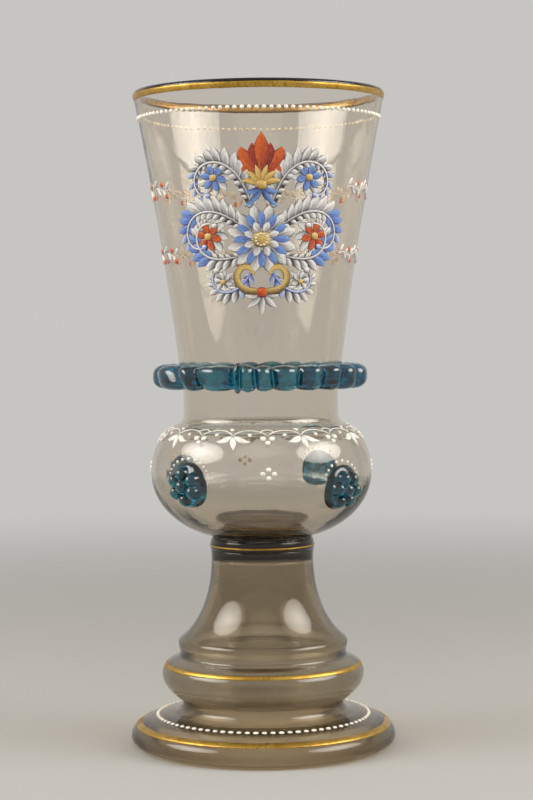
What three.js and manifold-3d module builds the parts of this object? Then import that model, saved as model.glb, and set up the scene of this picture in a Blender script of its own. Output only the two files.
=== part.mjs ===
// A footed goblet of smoky blown glass with a pinched collar and raspberry prunts of blue glass.
// Millimetres, +Z up. The origin is on the axis, on the surface that the foot stands on. The front faces -Y.
import * as THREE from 'three';
import { mergeVertices } from 'three/addons/utils/BufferGeometryUtils.js';
import Module from 'manifold-3d';

const wasm = await Module();
wasm.setup();

// Seating
const seatGap = 0.3; // between two pieces that are fused at the furnace
const gildingGap = 0.1; // between the glass and the gold laid on it

// Foot, from the table up
const contactRadius = 58; // outer edge of the flat ring that the foot stands on
const contactWidth = 2.6;
const edgeRadius = 65.4; // widest part of the rolled edge
const edgeLevel = 4.8;
const shoulderRadius = 61.6; // where the top of the base turns down into the rolled edge
const shoulderLevel = 11.3;
const apronRadius = 43.5; // where the top of the base meets the waist
const apronLevel = 16.9;
const waistRadius = 39.3;
const waistLevel = 22.3;
const torusRadius = 50;
const torusLevel = 35.2;
const stepRootRadius = 40.5; // groove between the torus and the step
const stepRootLevel = 44.6;
const stepRadius = 42.1;
const stepLevel = 51.3;
const ledgeRadius = 38.9; // top of the step, where the bell begins
const ledgeLevel = 54.6;
const bellTopRadius = 25.1; // where the flare of the bell ends
const bellNeckHeight = 5.3; // from there up to the merese
const footTopRadius = 25.5; // under the merese
const footHeight = 97;
const footWall = 3;
const bellWall = 3.9;
const boreFillet = 3.5; // round corner at the top of the bell's hollow
const boreDepth = 7.3; // how far below the end of the bell's flare the hollow runs straight
const crownThickness = 2.3; // glass above the hollow of the bell

// Merese
const mereseRadius = 25.8;
const mereseNotchRadius = 24; // groove under the bulb
const mereseThickness = 4.4; // on the axis

// Bowl, from the bulb up
const bulbRadius = 54.3;
const bulbDepth = 32.5; // from the widest level down to the bottom
const bulbFlatRadius = 12.5; // flat of the bottom
const bulbRise = 24.2; // from the widest level up to the shoulder
const neckRadius = 38;
const neckFillet = 4.2;
const neckHeight = 19.3;
const beakerFootRadius = 38.9; // where the beaker springs from the neck, inside the collar
const rimRadius = 61.2;
const beakerHeight = 142;
const beakerBow = 1.5; // how far the wall bows inwards half way up
const bowlWall = 2.3;
const bottomThickness = 4.2;

// Rigaree collar
const collarRadius = 52.9;
const collarHeight = 12;
const collarSeat = 9; // height of the face that lies on the neck
const collarLift = 3.6; // of its middle above the top of the neck
const collarSquareness = 0.62; // exponent of the section: 1 is an ellipse, 0 a box
const pinchDepth = 4.4; // how far the pincers drew the trail in between two lobes
const pinchSlimming = 0.2; // share of the height lost at a pinch
// Width of each lobe in degrees, from the left of the front going right, scaled to fill the circle
const lobeWidths = [
  14, 23.5, 10.6, 10.1, 14.8, 14.9, 14.5, 16.1, 16, 17, 15, 17, 17, 15, 17, 16, 17, 16, 16, 15, 18, 29.5,
];
const firstPinchAzimuth = -50.5;

// Raspberry prunts: where each sits round the bulb, and how its pattern is turned
const prunts = [
  { name: 'prunt_front_left', azimuth: -39.5, drop: 3.3, roll: 32 },
  { name: 'prunt_front_right', azimuth: 46.5, drop: 5.5, roll: -3 },
  { name: 'prunt_back_right', azimuth: 146, drop: 2.6, roll: 21 },
  { name: 'prunt_back_left', azimuth: 232, drop: 3.6, roll: 3 },
]; // drop is how far the middle lies below the widest level of the bulb
const pruntRadius = 11.3;
const padEdge = 1.6; // thickness of the pad at its rim
const padCrown = 2; // further rise of the pad in its middle
const berryRings = 1; // rings of knobs round the middle one
const berryPitch = 5.9; // from the middle of a knob to that of the next
const berryHeight = 3.1;

// Gilding
const goldThickness = 0.25;
const rimGoldDrop = 1.6; // from the lip to the band
const rimGoldWidth = 2.7;
const mereseGoldDrop = 4.6; // from the groove under the bulb to the middle of the line
const mereseGoldWidth = 0.8;
const torusGoldRise = 4.3; // of the band's lower edge above the widest part of the torus
const torusGoldWidth = 1.9;
const footGoldDrop = 1; // of the band's lower edge below the shoulder of the base
const footGoldWidth = 1.9;

// Fineness of the facets
const turns = 32; // sides of every revolved piece
const facetBend = 17; // a curve of an outline has one facet for every so many degrees that it bends
const longFacet = 50; // but none is longer than this
const shortFacet = 1.5; // or much shorter than this
const lobeSteps = [0, 0.1, 0.32, 0.68, 0.9]; // where the collar has a section, as shares of a lobe

// Levels that follow from the sizes above
const mereseLevel = footHeight + seatGap;
const bowlLevel = mereseLevel + mereseThickness + seatGap;
const bulbLevel = bowlLevel + bulbDepth;
const shoulderTop = bulbLevel + bulbRise;
const neckTop = shoulderTop + neckHeight;
const rimLevel = neckTop + beakerHeight;
const collarLevel = neckTop + collarLift;

const smokyGlass = new THREE.MeshStandardMaterial({
  name: 'smoky_glass', color: 0x8a7a62, roughness: 0.05, metalness: 0, transparent: true, opacity: 0.35,
});
const blueGlass = new THREE.MeshStandardMaterial({
  name: 'blue_glass', color: 0x0d5a78, roughness: 0.08, metalness: 0, transparent: true, opacity: 0.7,
});
const gold = new THREE.MeshStandardMaterial({
  name: 'gilding', color: 0xb98a2e, roughness: 0.3, metalness: 1,
});

const { degToRad, lerp, clamp, mapLinear } = THREE.MathUtils;
const flat = (radius, z) => new THREE.Vector2(radius, z);

// Revolves a profile that runs counterclockwise, with the radius to the right and the height up
function revolve(profile) {
  const geometry = new THREE.LatheGeometry(profile, turns);
  geometry.rotateX(Math.PI / 2);
  return geometry;
}

// Radius at the height z of an outline that only rises
function radiusAt(outline, z) {
  const next = outline.findIndex((point) => point.y >= z);
  if (next < 0) return outline.at(-1).x;
  if (next === 0) return outline[0].x;
  return mapLinear(z, outline[next - 1].y, outline[next].y, outline[next - 1].x, outline[next].x);
}

// The stretch of such an outline between two heights, with every corner on the way
function corners(outline, low, high) {
  const between = outline.filter((point) => point.y > low + 0.1 && point.y < high - 0.1);
  return [flat(radiusAt(outline, low), low), ...between, flat(radiusAt(outline, high), high)];
}

// Points along a path, closer together where it bends
function outlinePoints(path) {
  const samples = 16;
  const points = path.curves.flatMap((curve) => {
    const tangents = Array.from({ length: samples + 1 }, (_, step) => curve.getTangent(step / samples));
    const bend = tangents.slice(1).reduce((sum, tangent, step) => sum + tangent.angleTo(tangents[step]), 0);
    const length = curve.getLength();
    const wanted = Math.min((bend * THREE.MathUtils.RAD2DEG) / facetBend, length / shortFacet);
    return curve.getSpacedPoints(Math.ceil(Math.max(wanted, length / longFacet))).slice(0, -1);
  });
  return [...points, path.curves.at(-1).getPoint(1)];
}

// Outer outline of the bowl, from the axis under the bulb up to the lip
function bowlOutline() {
  const shoulderWidth = bulbRadius - neckRadius;
  const filletAngle = Math.acos(Math.min(0.9, (1.2 * neckFillet) / shoulderWidth));
  const path = new THREE.Path();
  path.moveTo(0, bowlLevel);
  path.lineTo(bulbFlatRadius, bowlLevel);
  path.absellipse(bulbFlatRadius, bulbLevel, bulbRadius - bulbFlatRadius, bulbDepth, -Math.PI / 2, 0, false);
  path.absellipse(neckRadius, bulbLevel, shoulderWidth, bulbRise, 0, filletAngle, false);
  path.quadraticCurveTo(neckRadius, shoulderTop, neckRadius, shoulderTop + neckFillet);
  path.lineTo(neckRadius, neckTop - 2);
  path.lineTo(beakerFootRadius, neckTop);
  const bowedRadius = (beakerFootRadius + rimRadius) / 2 - 2 * beakerBow;
  path.quadraticCurveTo(bowedRadius, (neckTop + rimLevel) / 2, rimRadius, rimLevel - bowlWall / 2);
  return outlinePoints(path);
}

// The inner wall lies one wall inside the outer one, square to it, and the bottom is thicker
function bowlHollow(outline) {
  const wallStart = outline.findIndex((point) => point.x > 0);
  const wall = outline.slice(wallStart).map((point, index, part) => {
    const before = part[Math.max(index - 1, 0)];
    const after = part[Math.min(index + 1, part.length - 1)];
    const inward = flat(before.y - after.y, after.x - before.x).normalize();
    const rise = clamp((point.y - bowlLevel) / bulbDepth, 0, 1);
    return inward.multiplyScalar(lerp(bottomThickness, bowlWall, rise)).add(point);
  });
  return [flat(0, wall[0].y), ...wall];
}

function bowl(outline) {
  const hollow = bowlHollow(outline);
  const lip = flat((outline.at(-1).x + hollow.at(-1).x) / 2, rimLevel);
  return revolve([...outline, lip, ...hollow.reverse()]);
}

// Outer outline of the foot, from the table up to the top of the bell
function footOutline() {
  const fall = (1.7 * (apronLevel - shoulderLevel)) / (shoulderRadius - apronRadius); // slope at the shoulder
  const apronTurn = shoulderRadius - (apronLevel - shoulderLevel) / fall;
  const bellTopLevel = footHeight - bellNeckHeight;
  const bellRise = bellTopLevel - ledgeLevel;
  const path = new THREE.Path();
  path.absellipse(contactRadius, edgeLevel, edgeRadius - contactRadius, edgeLevel, -Math.PI / 2, 0, false);
  path.quadraticCurveTo(edgeRadius, shoulderLevel - (edgeRadius - shoulderRadius) * fall,
    shoulderRadius, shoulderLevel);
  path.quadraticCurveTo(apronTurn, apronLevel, apronRadius, apronLevel + 0.1);
  path.quadraticCurveTo(waistRadius + 1, apronLevel + 0.6, waistRadius, waistLevel);
  path.bezierCurveTo(torusRadius - 7, waistLevel + 2.6, torusRadius - 0.6, lerp(waistLevel, torusLevel, 0.5),
    torusRadius, torusLevel);
  path.bezierCurveTo(torusRadius, stepRootLevel - 4, torusRadius - 4, stepRootLevel - 1.6,
    stepRootRadius, stepRootLevel);
  path.lineTo(stepRadius, stepLevel);
  path.quadraticCurveTo(stepRadius + 0.3, ledgeLevel - 1.4, ledgeRadius, ledgeLevel);
  path.bezierCurveTo(
    bellTopRadius + 3.9, ledgeLevel + 0.25 * bellRise,
    bellTopRadius + 0.4, ledgeLevel + 0.63 * bellRise,
    bellTopRadius, bellTopLevel,
  );
  path.quadraticCurveTo(bellTopRadius, lerp(bellTopLevel, footHeight, 0.5), footTopRadius, footHeight);
  return outlinePoints(path);
}

// Hollow of the foot, from the axis under the crown down to the inside of the contact ring
function footHollow() {
  const hollowTop = footHeight - crownThickness;
  const boreRadius = bellTopRadius - bellWall;
  const boreEnd = footHeight - bellNeckHeight - boreDepth;
  const bellRise = boreEnd - ledgeLevel;
  const innerTorus = torusRadius - footWall;
  const innerWaist = waistRadius - footWall;
  const path = new THREE.Path();
  path.moveTo(0, hollowTop);
  path.lineTo(boreRadius - boreFillet, hollowTop);
  path.quadraticCurveTo(boreRadius, hollowTop, boreRadius, hollowTop - boreFillet);
  path.lineTo(boreRadius, boreEnd);
  path.bezierCurveTo(
    boreRadius + 0.5, ledgeLevel + 0.6 * bellRise,
    boreRadius + 5, ledgeLevel + 0.24 * bellRise,
    ledgeRadius - bellWall, ledgeLevel - footWall,
  );
  path.quadraticCurveTo(stepRadius - footWall, stepLevel - 1, stepRootRadius - footWall, stepRootLevel - 0.5);
  path.bezierCurveTo(innerTorus - 2, stepRootLevel - footWall - 1, innerTorus, torusLevel + 4,
    innerTorus, torusLevel);
  path.bezierCurveTo(innerTorus, torusLevel - 5, innerTorus - 3.5, waistLevel + footWall + 0.6,
    innerWaist, waistLevel);
  path.quadraticCurveTo(innerWaist + 1, apronLevel - footWall + 0.6, apronRadius - 1, apronLevel - footWall);
  path.quadraticCurveTo(shoulderRadius - 6, apronLevel - footWall,
    shoulderRadius - footWall, shoulderLevel - footWall);
  path.quadraticCurveTo(edgeRadius - footWall, edgeLevel, contactRadius - contactWidth, 0);
  return outlinePoints(path);
}

function foot(outline) {
  return revolve([...footHollow(), ...outline, flat(0, footHeight)]);
}

// The underside of the bowl from the axis out to the groove, one seat gap lower
function mereseTop(outline) {
  const seat = outline.filter((point) => point.x < mereseNotchRadius && point.y < bulbLevel);
  const next = outline[seat.length];
  const edge = mapLinear(mereseNotchRadius, seat.at(-1).x, next.x, seat.at(-1).y, next.y);
  return [...seat, flat(mereseNotchRadius, edge)].map((point) => flat(point.x, point.y - seatGap));
}

// Outer outline of the merese, from its foot up to the groove under the bulb
function mereseOutline(top) {
  const groove = top.at(-1);
  const path = new THREE.Path();
  path.moveTo(footTopRadius, mereseLevel);
  path.bezierCurveTo(mereseRadius, lerp(mereseLevel, groove.y, 0.3), mereseRadius + 0.3, groove.y - 1,
    groove.x, groove.y);
  return outlinePoints(path);
}

function merese(outline, top) {
  return revolve([flat(0, mereseLevel), ...outline, ...top.slice(0, -1).reverse()]);
}

// A thin band laid on an outline between two heights
function gilding(outline, low, width) {
  const band = corners(outline, low, low + width);
  const layer = (offset) => band.map((point) => flat(point.x + offset, point.y));
  const outside = layer(gildingGap + goldThickness);
  return revolve([...outside, ...layer(gildingGap).reverse(), outside[0]]);
}

// Joins sections of equal length, given in order round the axis, into one closed ring
function closedRing(sections) {
  const size = sections[0].length;
  const index = [];
  sections.forEach((section, turn) => section.forEach((point, place) => {
    const corner = (t, p) => ((turn + t) % sections.length) * size + ((place + p) % size);
    index.push(corner(0, 0), corner(1, 0), corner(1, 1), corner(0, 0), corner(1, 1), corner(0, 1));
  }));
  const geometry = new THREE.BufferGeometry().setFromPoints(sections.flat());
  geometry.setIndex(index);
  return geometry;
}

// One section of the collar; fullness is 0 at a pinch and 1 on the crown of a lobe
function collarSection(outline, azimuth, fullness) {
  const outer = collarRadius - pinchDepth * (1 - fullness);
  const middle = lerp(neckRadius, outer, 0.5);
  const half = (collarHeight / 2) * (1 - pinchSlimming * (1 - fullness));
  const rounded = [-90, -60, -35, -12, 12, 35, 60, 90].map((angle) => {
    const across = Math.max(Math.cos(degToRad(angle)), 0) ** collarSquareness;
    const up = Math.sign(angle) * Math.abs(Math.sin(degToRad(angle))) ** collarSquareness;
    return flat(lerp(middle, outer, across), collarLevel + half * up);
  });
  const seat = corners(outline, collarLevel - collarSeat / 2, collarLevel + collarSeat / 2)
    .map((point) => flat(point.x + seatGap, point.y)).reverse();
  const [cos, sin] = [Math.cos(degToRad(azimuth)), Math.sin(degToRad(azimuth))];
  return [...rounded, ...seat].map((point) => new THREE.Vector3(point.x * sin, -point.x * cos, point.y));
}

function rigareeCollar(outline) {
  const total = lobeWidths.reduce((sum, width) => sum + width, 0);
  const sections = [];
  let azimuth = firstPinchAzimuth;
  for (const width of lobeWidths) {
    const lobe = (width * 360) / total;
    for (const share of lobeSteps) {
      const fullness = Math.sin(Math.PI * share) ** 0.4;
      sections.push(collarSection(outline, azimuth + share * lobe, fullness));
    }
    azimuth += lobe;
  }
  return closedRing(sections);
}

function toSolid(geometry) {
  geometry.deleteAttribute('normal');
  geometry.deleteAttribute('uv');
  const merged = mergeVertices(geometry, 1e-4);
  return new wasm.Manifold(new wasm.Mesh({
    numProp: 3,
    vertProperties: new Float32Array(merged.attributes.position.array),
    triVerts: new Uint32Array(merged.index.array),
  }));
}

function toGeometry(solid) {
  const mesh = solid.getMesh();
  const geometry = new THREE.BufferGeometry();
  geometry.setAttribute('position', new THREE.BufferAttribute(mesh.vertProperties, 3));
  geometry.setIndex(new THREE.BufferAttribute(mesh.triVerts, 1));
  return geometry;
}

// A disc of hexagonal cells, each raised to a knob, closed by a plug that reaches into the bulb. In its own
// frame the bulb's surface touches the XY plane at the origin, and +Z points away from the bulb.
function pruntBlank(bend) {
  const pad = (x, y) => padEdge + padCrown * (1 - (x * x + y * y) / pruntRadius ** 2) - bend(x, y);
  const at = (x, y, rise) => new THREE.Vector3(x, y, pad(x, y) + rise);
  const ring = (x, y, radius, rise) => [0, 1, 2, 3, 4, 5].map((side) => {
    const angle = degToRad(60 * side + 30);
    return at(x + radius * Math.cos(angle), y + radius * Math.sin(angle), rise);
  });
  const triangles = [];
  const borders = new Map(); // sides of cells that no other cell shares
  const key = (point) => `${Math.round(point.x * 100)},${Math.round(point.y * 100)}`;
  for (let row = -berryRings; row <= berryRings; row += 1) {
    for (let column = -berryRings; column <= berryRings; column += 1) {
      if (Math.abs(row + column) > berryRings) continue;
      const [x, y] = [berryPitch * (column + row / 2), berryPitch * row * Math.sqrt(0.75)];
      const foot = ring(x, y, berryPitch / Math.sqrt(3), 0);
      const belly = ring(x, y, 0.45 * berryPitch, 0.5 * berryHeight);
      const crown = ring(x, y, 0.26 * berryPitch, 0.9 * berryHeight);
      foot.forEach((corner, side) => {
        const next = (side + 1) % 6;
        triangles.push(corner, foot[next], belly[next], corner, belly[next], belly[side]);
        triangles.push(belly[side], belly[next], crown[next], belly[side], crown[next], crown[side]);
        triangles.push(crown[side], crown[next], at(x, y, berryHeight));
        const shared = borders.delete(key(foot[next]) + key(corner));
        if (!shared) borders.set(key(corner) + key(foot[next]), [corner, foot[next]]);
      });
    }
  }
  const rim = (point, radius, z) => {
    const across = new THREE.Vector3(point.x, point.y, 0).setLength(radius);
    return across.setZ(z === undefined ? pad(across.x, across.y) - 0.4 * padEdge : z);
  };
  const plug = -pruntRadius / 2;
  for (const [start, end] of borders.values()) {
    const [startRim, endRim] = [rim(start, pruntRadius), rim(end, pruntRadius)];
    const [startPlug, endPlug] = [rim(start, pruntRadius, plug), rim(end, pruntRadius, plug)];
    triangles.push(start, startRim, endRim, start, endRim, end);
    triangles.push(startRim, startPlug, endPlug, startRim, endPlug, endRim);
    triangles.push(endPlug, startPlug, new THREE.Vector3(0, 0, plug));
  }
  return new THREE.BufferGeometry().setFromPoints(triangles);
}

// A prunt at the front of the bulb, its back cut to the curve of the glass
function prunt(outline, drop, roll) {
  const level = bulbLevel - drop;
  const sine = -drop / bulbDepth;
  const cosine = Math.sqrt(1 - sine * sine);
  const width = bulbRadius - bulbFlatRadius;
  const tilt = Math.atan2(sine / bulbDepth, cosine / width);
  const bendAcross = 1 / (2 * bulbRadius);
  const bendUp = width / (2 * bulbDepth ** 2);
  const turned = degToRad(roll);
  const bend = (x, y) => {
    const across = x * Math.cos(turned) - y * Math.sin(turned);
    const up = x * Math.sin(turned) + y * Math.cos(turned);
    return bendAcross * across * across + bendUp * up * up;
  };
  const blank = pruntBlank(bend);
  blank.rotateZ(turned);
  blank.rotateX(Math.PI / 2 - tilt);
  blank.translate(0, -(bulbFlatRadius + width * cosine), level);
  const seat = revolve([...outline.map((point) => flat(point.x + (point.x > 0 ? seatGap : 0), point.y)),
    flat(0, rimLevel)]);
  return toGeometry(toSolid(blank).subtract(toSolid(seat)));
}

const goblet = new THREE.Group();

function add(name, geometry, material, azimuth = 0) {
  const mesh = new THREE.Mesh(geometry, material);
  mesh.name = name;
  mesh.rotation.z = degToRad(azimuth);
  goblet.add(mesh);
}

const bowlSide = bowlOutline();
const footSide = footOutline();
const mereseSeat = mereseTop(bowlSide);
const mereseSide = mereseOutline(mereseSeat);

add('foot', foot(footSide), smokyGlass);
add('merese', merese(mereseSide, mereseSeat), smokyGlass);
add('bowl', bowl(bowlSide), smokyGlass);
add('rigaree_collar', rigareeCollar(bowlSide), blueGlass);
for (const { name, azimuth, drop, roll } of prunts) {
  add(name, prunt(bowlSide, drop, roll), blueGlass, azimuth);
}
add('rim_gilding', gilding(bowlSide, rimLevel - rimGoldDrop - rimGoldWidth, rimGoldWidth), gold);
add('merese_gilding', gilding(mereseSide, mereseSeat.at(-1).y - mereseGoldDrop - mereseGoldWidth / 2,
  mereseGoldWidth), gold);
add('torus_gilding', gilding(footSide, torusLevel + torusGoldRise, torusGoldWidth), gold);
add('foot_gilding', gilding(footSide, shoulderLevel - footGoldDrop, footGoldWidth), gold);

export default goblet;
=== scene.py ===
# A footed goblet of smoky blown glass, with a pinched collar and raspberry prunts of blue glass,
# gilded lines and raised enamel
import math
import random

import bmesh
import bpy
from mathutils import Matrix, Vector


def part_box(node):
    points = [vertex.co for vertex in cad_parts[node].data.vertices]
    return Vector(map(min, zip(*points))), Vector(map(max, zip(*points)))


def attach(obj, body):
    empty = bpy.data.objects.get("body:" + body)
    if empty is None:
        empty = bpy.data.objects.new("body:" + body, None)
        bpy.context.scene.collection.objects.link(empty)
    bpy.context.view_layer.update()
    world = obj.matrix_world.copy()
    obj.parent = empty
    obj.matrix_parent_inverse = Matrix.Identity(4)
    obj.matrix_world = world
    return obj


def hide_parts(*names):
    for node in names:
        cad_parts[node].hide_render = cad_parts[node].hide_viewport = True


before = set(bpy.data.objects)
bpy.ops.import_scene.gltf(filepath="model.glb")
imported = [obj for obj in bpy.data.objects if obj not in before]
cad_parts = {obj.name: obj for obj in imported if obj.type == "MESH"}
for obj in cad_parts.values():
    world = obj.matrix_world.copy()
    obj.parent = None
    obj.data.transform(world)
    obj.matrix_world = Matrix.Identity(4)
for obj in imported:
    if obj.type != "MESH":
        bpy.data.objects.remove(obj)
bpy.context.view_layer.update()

mm = 0.001
fineness = dict(
    outline=1.3,  # mm between two points of an outline
    turns=144,  # sides of a revolved piece
)


def linear(red, green, blue):  # a colour as a screen shows it, 0 to 255, as a shader wants it
    shares = (part / 255 for part in (red, green, blue))
    return tuple(part / 12.92 if part <= 0.04045 else ((part + 0.055) / 1.055) ** 2.4 for part in shares)


def between(start, end, share):
    if isinstance(start, (int, float)):
        return start + (end - start) * share
    return tuple(a + (b - a) * share for a, b in zip(start, end))


def ease(low, high, value):  # 0 at low, 1 at high, smooth between
    share = min(max((value - low) / (high - low), 0), 1)
    return share * share * (3 - 2 * share)


# Nodes, written as expressions
class Wire:
    def __init__(self, nodes, socket):
        self.nodes, self.socket = nodes, socket

    def __add__(self, other):
        return self.nodes.maths("ADD", self, other)

    def __sub__(self, other):
        return self.nodes.maths("SUBTRACT", self, other)

    def __mul__(self, other):
        return self.nodes.maths("MULTIPLY", self, other)

    def __truediv__(self, other):
        return self.nodes.maths("DIVIDE", self, other)

    def __pow__(self, other):
        return self.nodes.maths("POWER", self, other)

    def __radd__(self, other):
        return self.nodes.maths("ADD", other, self)

    def __rsub__(self, other):
        return self.nodes.maths("SUBTRACT", other, self)

    def __rmul__(self, other):
        return self.nodes.maths("MULTIPLY", other, self)

    def atLeast(self, other):
        return self.nodes.maths("MAXIMUM", self, other)

    def atMost(self, other):
        return self.nodes.maths("MINIMUM", self, other)


class Nodes:
    def __init__(self, tree):
        self.tree = tree
        tree.nodes.clear()

    def add(self, kind, settings=None, inputs=None, output=0):
        node = self.tree.nodes.new(kind)
        for name, value in (settings or {}).items():
            setattr(node, name, value)
        for key, value in (inputs or {}).items():
            if isinstance(value, Wire):
                self.tree.links.new(value.socket, node.inputs[key])
            else:
                node.inputs[key].default_value = value
        return Wire(self, node.outputs[output]) if len(node.outputs) else None

    def maths(self, operation, first, second=0.0):
        return self.add("ShaderNodeMath", {"operation": operation}, {0: first, 1: second})

    def parts(self, vector):  # X, Y and Z of a vector
        split = self.add("ShaderNodeSeparateXYZ", {}, {0: vector}).socket.node
        return [Wire(self, socket) for socket in split.outputs]

    def noise(self, vector, scale, detail=3, roughness=0.5):
        inputs = {"Vector": vector, "Scale": scale, "Detail": detail, "Roughness": roughness}
        return self.add("ShaderNodeTexNoise", {}, inputs)

    def spread(self, value, low, high, start=0.0, end=1.0):  # moves the range low to high onto start to end
        inputs = {"Value": value, "From Min": low, "From Max": high, "To Min": start, "To Max": end}
        return self.add("ShaderNodeMapRange", {}, inputs)

    def stretch(self, vector, scale):
        return self.add("ShaderNodeMapping", {}, {"Vector": vector, "Scale": scale})

    def mixColours(self, share, first, second):
        picked = {"data_type": "RGBA"}
        return self.add("ShaderNodeMix", picked, {"Factor": share, 6: first, 7: second}, 2)


def newMaterial(name, colour):
    material = bpy.data.materials.new(name)
    material.use_nodes = True
    material.diffuse_color = (*colour, 1)
    return material, Nodes(material.node_tree)


# Materials
smokyLook = dict(
    surface=(0.92, 0.895, 0.86),  # tint that each surface gives
    depth=(0.60, 0.45, 0.18), density=62,  # tint of the glass itself, and how soon it deepens
    ior=1.5, waviness=0.00009,  # metres
    wrinkles=0.0,  # share of fine wrinkles, where the hot glass met a cold tool
    smear=0.012,  # roughness of the least clear patches
    dull=0.0,  # roughness where the attribute dull is 1
    shadow=(0.88, 0.83, 0.74),
)
footLook = smokyLook | dict(
    surface=(0.76, 0.72, 0.655), depth=(0.59, 0.49, 0.28), density=160, dull=0.15,
)
collarLook = smokyLook | dict(
    surface=(0.08, 0.38, 0.52), depth=(0.0, 0.75, 0.83), density=80, ior=1.72, waviness=0.0005,
    wrinkles=0.1, smear=0.0, shadow=(0.12, 0.45, 0.55),
)
pruntLook = collarLook | dict(
    surface=(0.12, 0.46, 0.60), depth=(0.0, 0.76, 0.82), density=260, waviness=0.0002, wrinkles=0.04,
)
glassGrain = dict(  # scales of the patterns, and the share and stretch of the streaks that the blower drew
    streaks=260, streakShare=0.35, streakStretch=(1, 1, 0.07), waves=55, wrinkles=480, smears=38,
)


def glass(name, look):
    material, nodes = newMaterial(name, look["shadow"])
    place = nodes.add("ShaderNodeTexCoord", output="Object")
    drawn = nodes.noise(nodes.stretch(place, glassGrain["streakStretch"]), glassGrain["streaks"], 2)
    height = drawn * glassGrain["streakShare"] + nodes.noise(place, glassGrain["waves"], 2)
    if look["wrinkles"]:
        height = height + nodes.noise(place, glassGrain["wrinkles"], 3, 0.55) * look["wrinkles"]
    relief = nodes.add("ShaderNodeBump", {}, {
        "Strength": 1.0, "Distance": look["waviness"], "Height": height,
    })
    patches = nodes.noise(place, glassGrain["smears"], 5, 0.62)
    roughness = nodes.spread(patches, 0.5, 0.72, 0.0, look["smear"])
    if look["dull"]:
        dull = nodes.add("ShaderNodeAttribute", {"attribute_name": "dull"}, output="Fac")
        roughness = roughness + dull * look["dull"]
    body = nodes.add("ShaderNodeBsdfPrincipled", {}, {
        "Base Color": (*look["surface"], 1), "Roughness": roughness, "IOR": look["ior"],
        "Transmission Weight": 1.0, "Normal": relief,
    })
    clear = nodes.add("ShaderNodeBsdfTransparent", {}, {"Color": (*look["shadow"], 1)})
    lamp = nodes.add("ShaderNodeLightPath", output="Is Shadow Ray")
    surface = nodes.add("ShaderNodeMixShader", {}, {0: lamp, 1: body, 2: clear})
    depth = nodes.add("ShaderNodeVolumeAbsorption", {}, {
        "Color": (*look["depth"], 1), "Density": look["density"],
    })
    nodes.add("ShaderNodeOutputMaterial", {}, {"Surface": surface, "Volume": depth})
    return material


goldLook = dict(
    bright=linear(212, 172, 84), rubbed=linear(178, 138, 58), fleck=linear(118, 86, 36), fleckShare=0.65,
    clouds=90, flecks=900, chips=1100, chipPatches=60,  # scales of the patterns
    smooth=0.24, rough=0.5, unevenness=0.0001,
)


def gilding(look):
    material, nodes = newMaterial("gilding", look["bright"])
    place = nodes.add("ShaderNodeTexCoord", output="Object")
    cloud = nodes.noise(place, look["clouds"], 5, 0.6)
    grain = nodes.noise(place, look["flecks"], 3, 0.6)
    colour = nodes.mixColours(nodes.spread(cloud, 0.4, 0.65), (*look["bright"], 1), (*look["rubbed"], 1))
    flecked = nodes.spread(grain, 0.52, 0.66, 0.0, look["fleckShare"])
    colour = nodes.mixColours(flecked, colour, (*look["fleck"], 1))
    relief = nodes.add("ShaderNodeBump", {}, {
        "Strength": 0.5, "Distance": look["unevenness"], "Height": grain + cloud,
    })
    metal = nodes.add("ShaderNodeBsdfPrincipled", {}, {
        "Base Color": colour, "Metallic": 1.0, "Normal": relief,
        "Roughness": nodes.spread(cloud, 0.3, 0.7, look["smooth"], look["rough"]),
    })
    bare = nodes.add("ShaderNodeBsdfTransparent")
    wear = nodes.noise(place, look["chips"], 3, 0.7) + nodes.noise(place, look["chipPatches"], 2) * 0.6
    chipped = nodes.spread(wear, 1.0, 1.04)
    surface = nodes.add("ShaderNodeMixShader", {}, {0: chipped, 1: metal, 2: bare})
    nodes.add("ShaderNodeOutputMaterial", {}, {"Surface": surface})
    return material


enamelLook = dict(
    white=linear(238, 234, 224), shade=linear(214, 206, 190), hairShade=(0.5, 0.49, 0.52),
    clouds=300, speckles=900, hairs=3.4, hairStretch=(0.16, 1, 1),  # scales of the patterns
    smooth=0.22, rough=0.4, unevenness=0.0001, coat=0.25, coatRoughness=0.12,
)


def enamel(name, look, painted):  # white, or painted in the colours of the piece's own paint attribute
    material, nodes = newMaterial(name, look["white"])
    place = nodes.add("ShaderNodeTexCoord", output="Object")
    cloud = nodes.noise(place, look["clouds"], 4, 0.6)
    if painted:  # the brush attribute runs along and across a stroke
        stroke = nodes.add("ShaderNodeAttribute", {"attribute_name": "brush"}, output="Vector")
        brush = nodes.noise(nodes.stretch(stroke, look["hairStretch"]), look["hairs"], 3, 0.6)
        paint = nodes.add("ShaderNodeAttribute", {"attribute_name": "paint"}, output="Color")
        darker = nodes.add("ShaderNodeMix", {"data_type": "RGBA", "blend_type": "MULTIPLY"}, {
            "Factor": nodes.spread(brush, 0.42, 0.62, 0.0, 0.6), 6: paint, 7: (*look["hairShade"], 1),
        }, 2)
        tone = nodes.mixColours(nodes.spread(brush, 0.5, 0.34, 0.0, 0.1), darker, (*look["white"], 1))
    else:
        brush = nodes.noise(place, look["speckles"], 3, 0.6)
        tone = nodes.mixColours(nodes.spread(cloud, 0.45, 0.75), (*look["white"], 1), (*look["shade"], 1))
    relief = nodes.add("ShaderNodeBump", {}, {
        "Strength": 0.35, "Distance": look["unevenness"], "Height": cloud + brush * 0.5,
    })
    body = nodes.add("ShaderNodeBsdfPrincipled", {}, {
        "Base Color": tone, "Roughness": nodes.spread(cloud, 0.3, 0.7, look["smooth"], look["rough"]),
        "Normal": relief, "Coat Weight": look["coat"], "Coat Roughness": look["coatRoughness"],
    })
    nodes.add("ShaderNodeOutputMaterial", {}, {"Surface": body})
    return material


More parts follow.
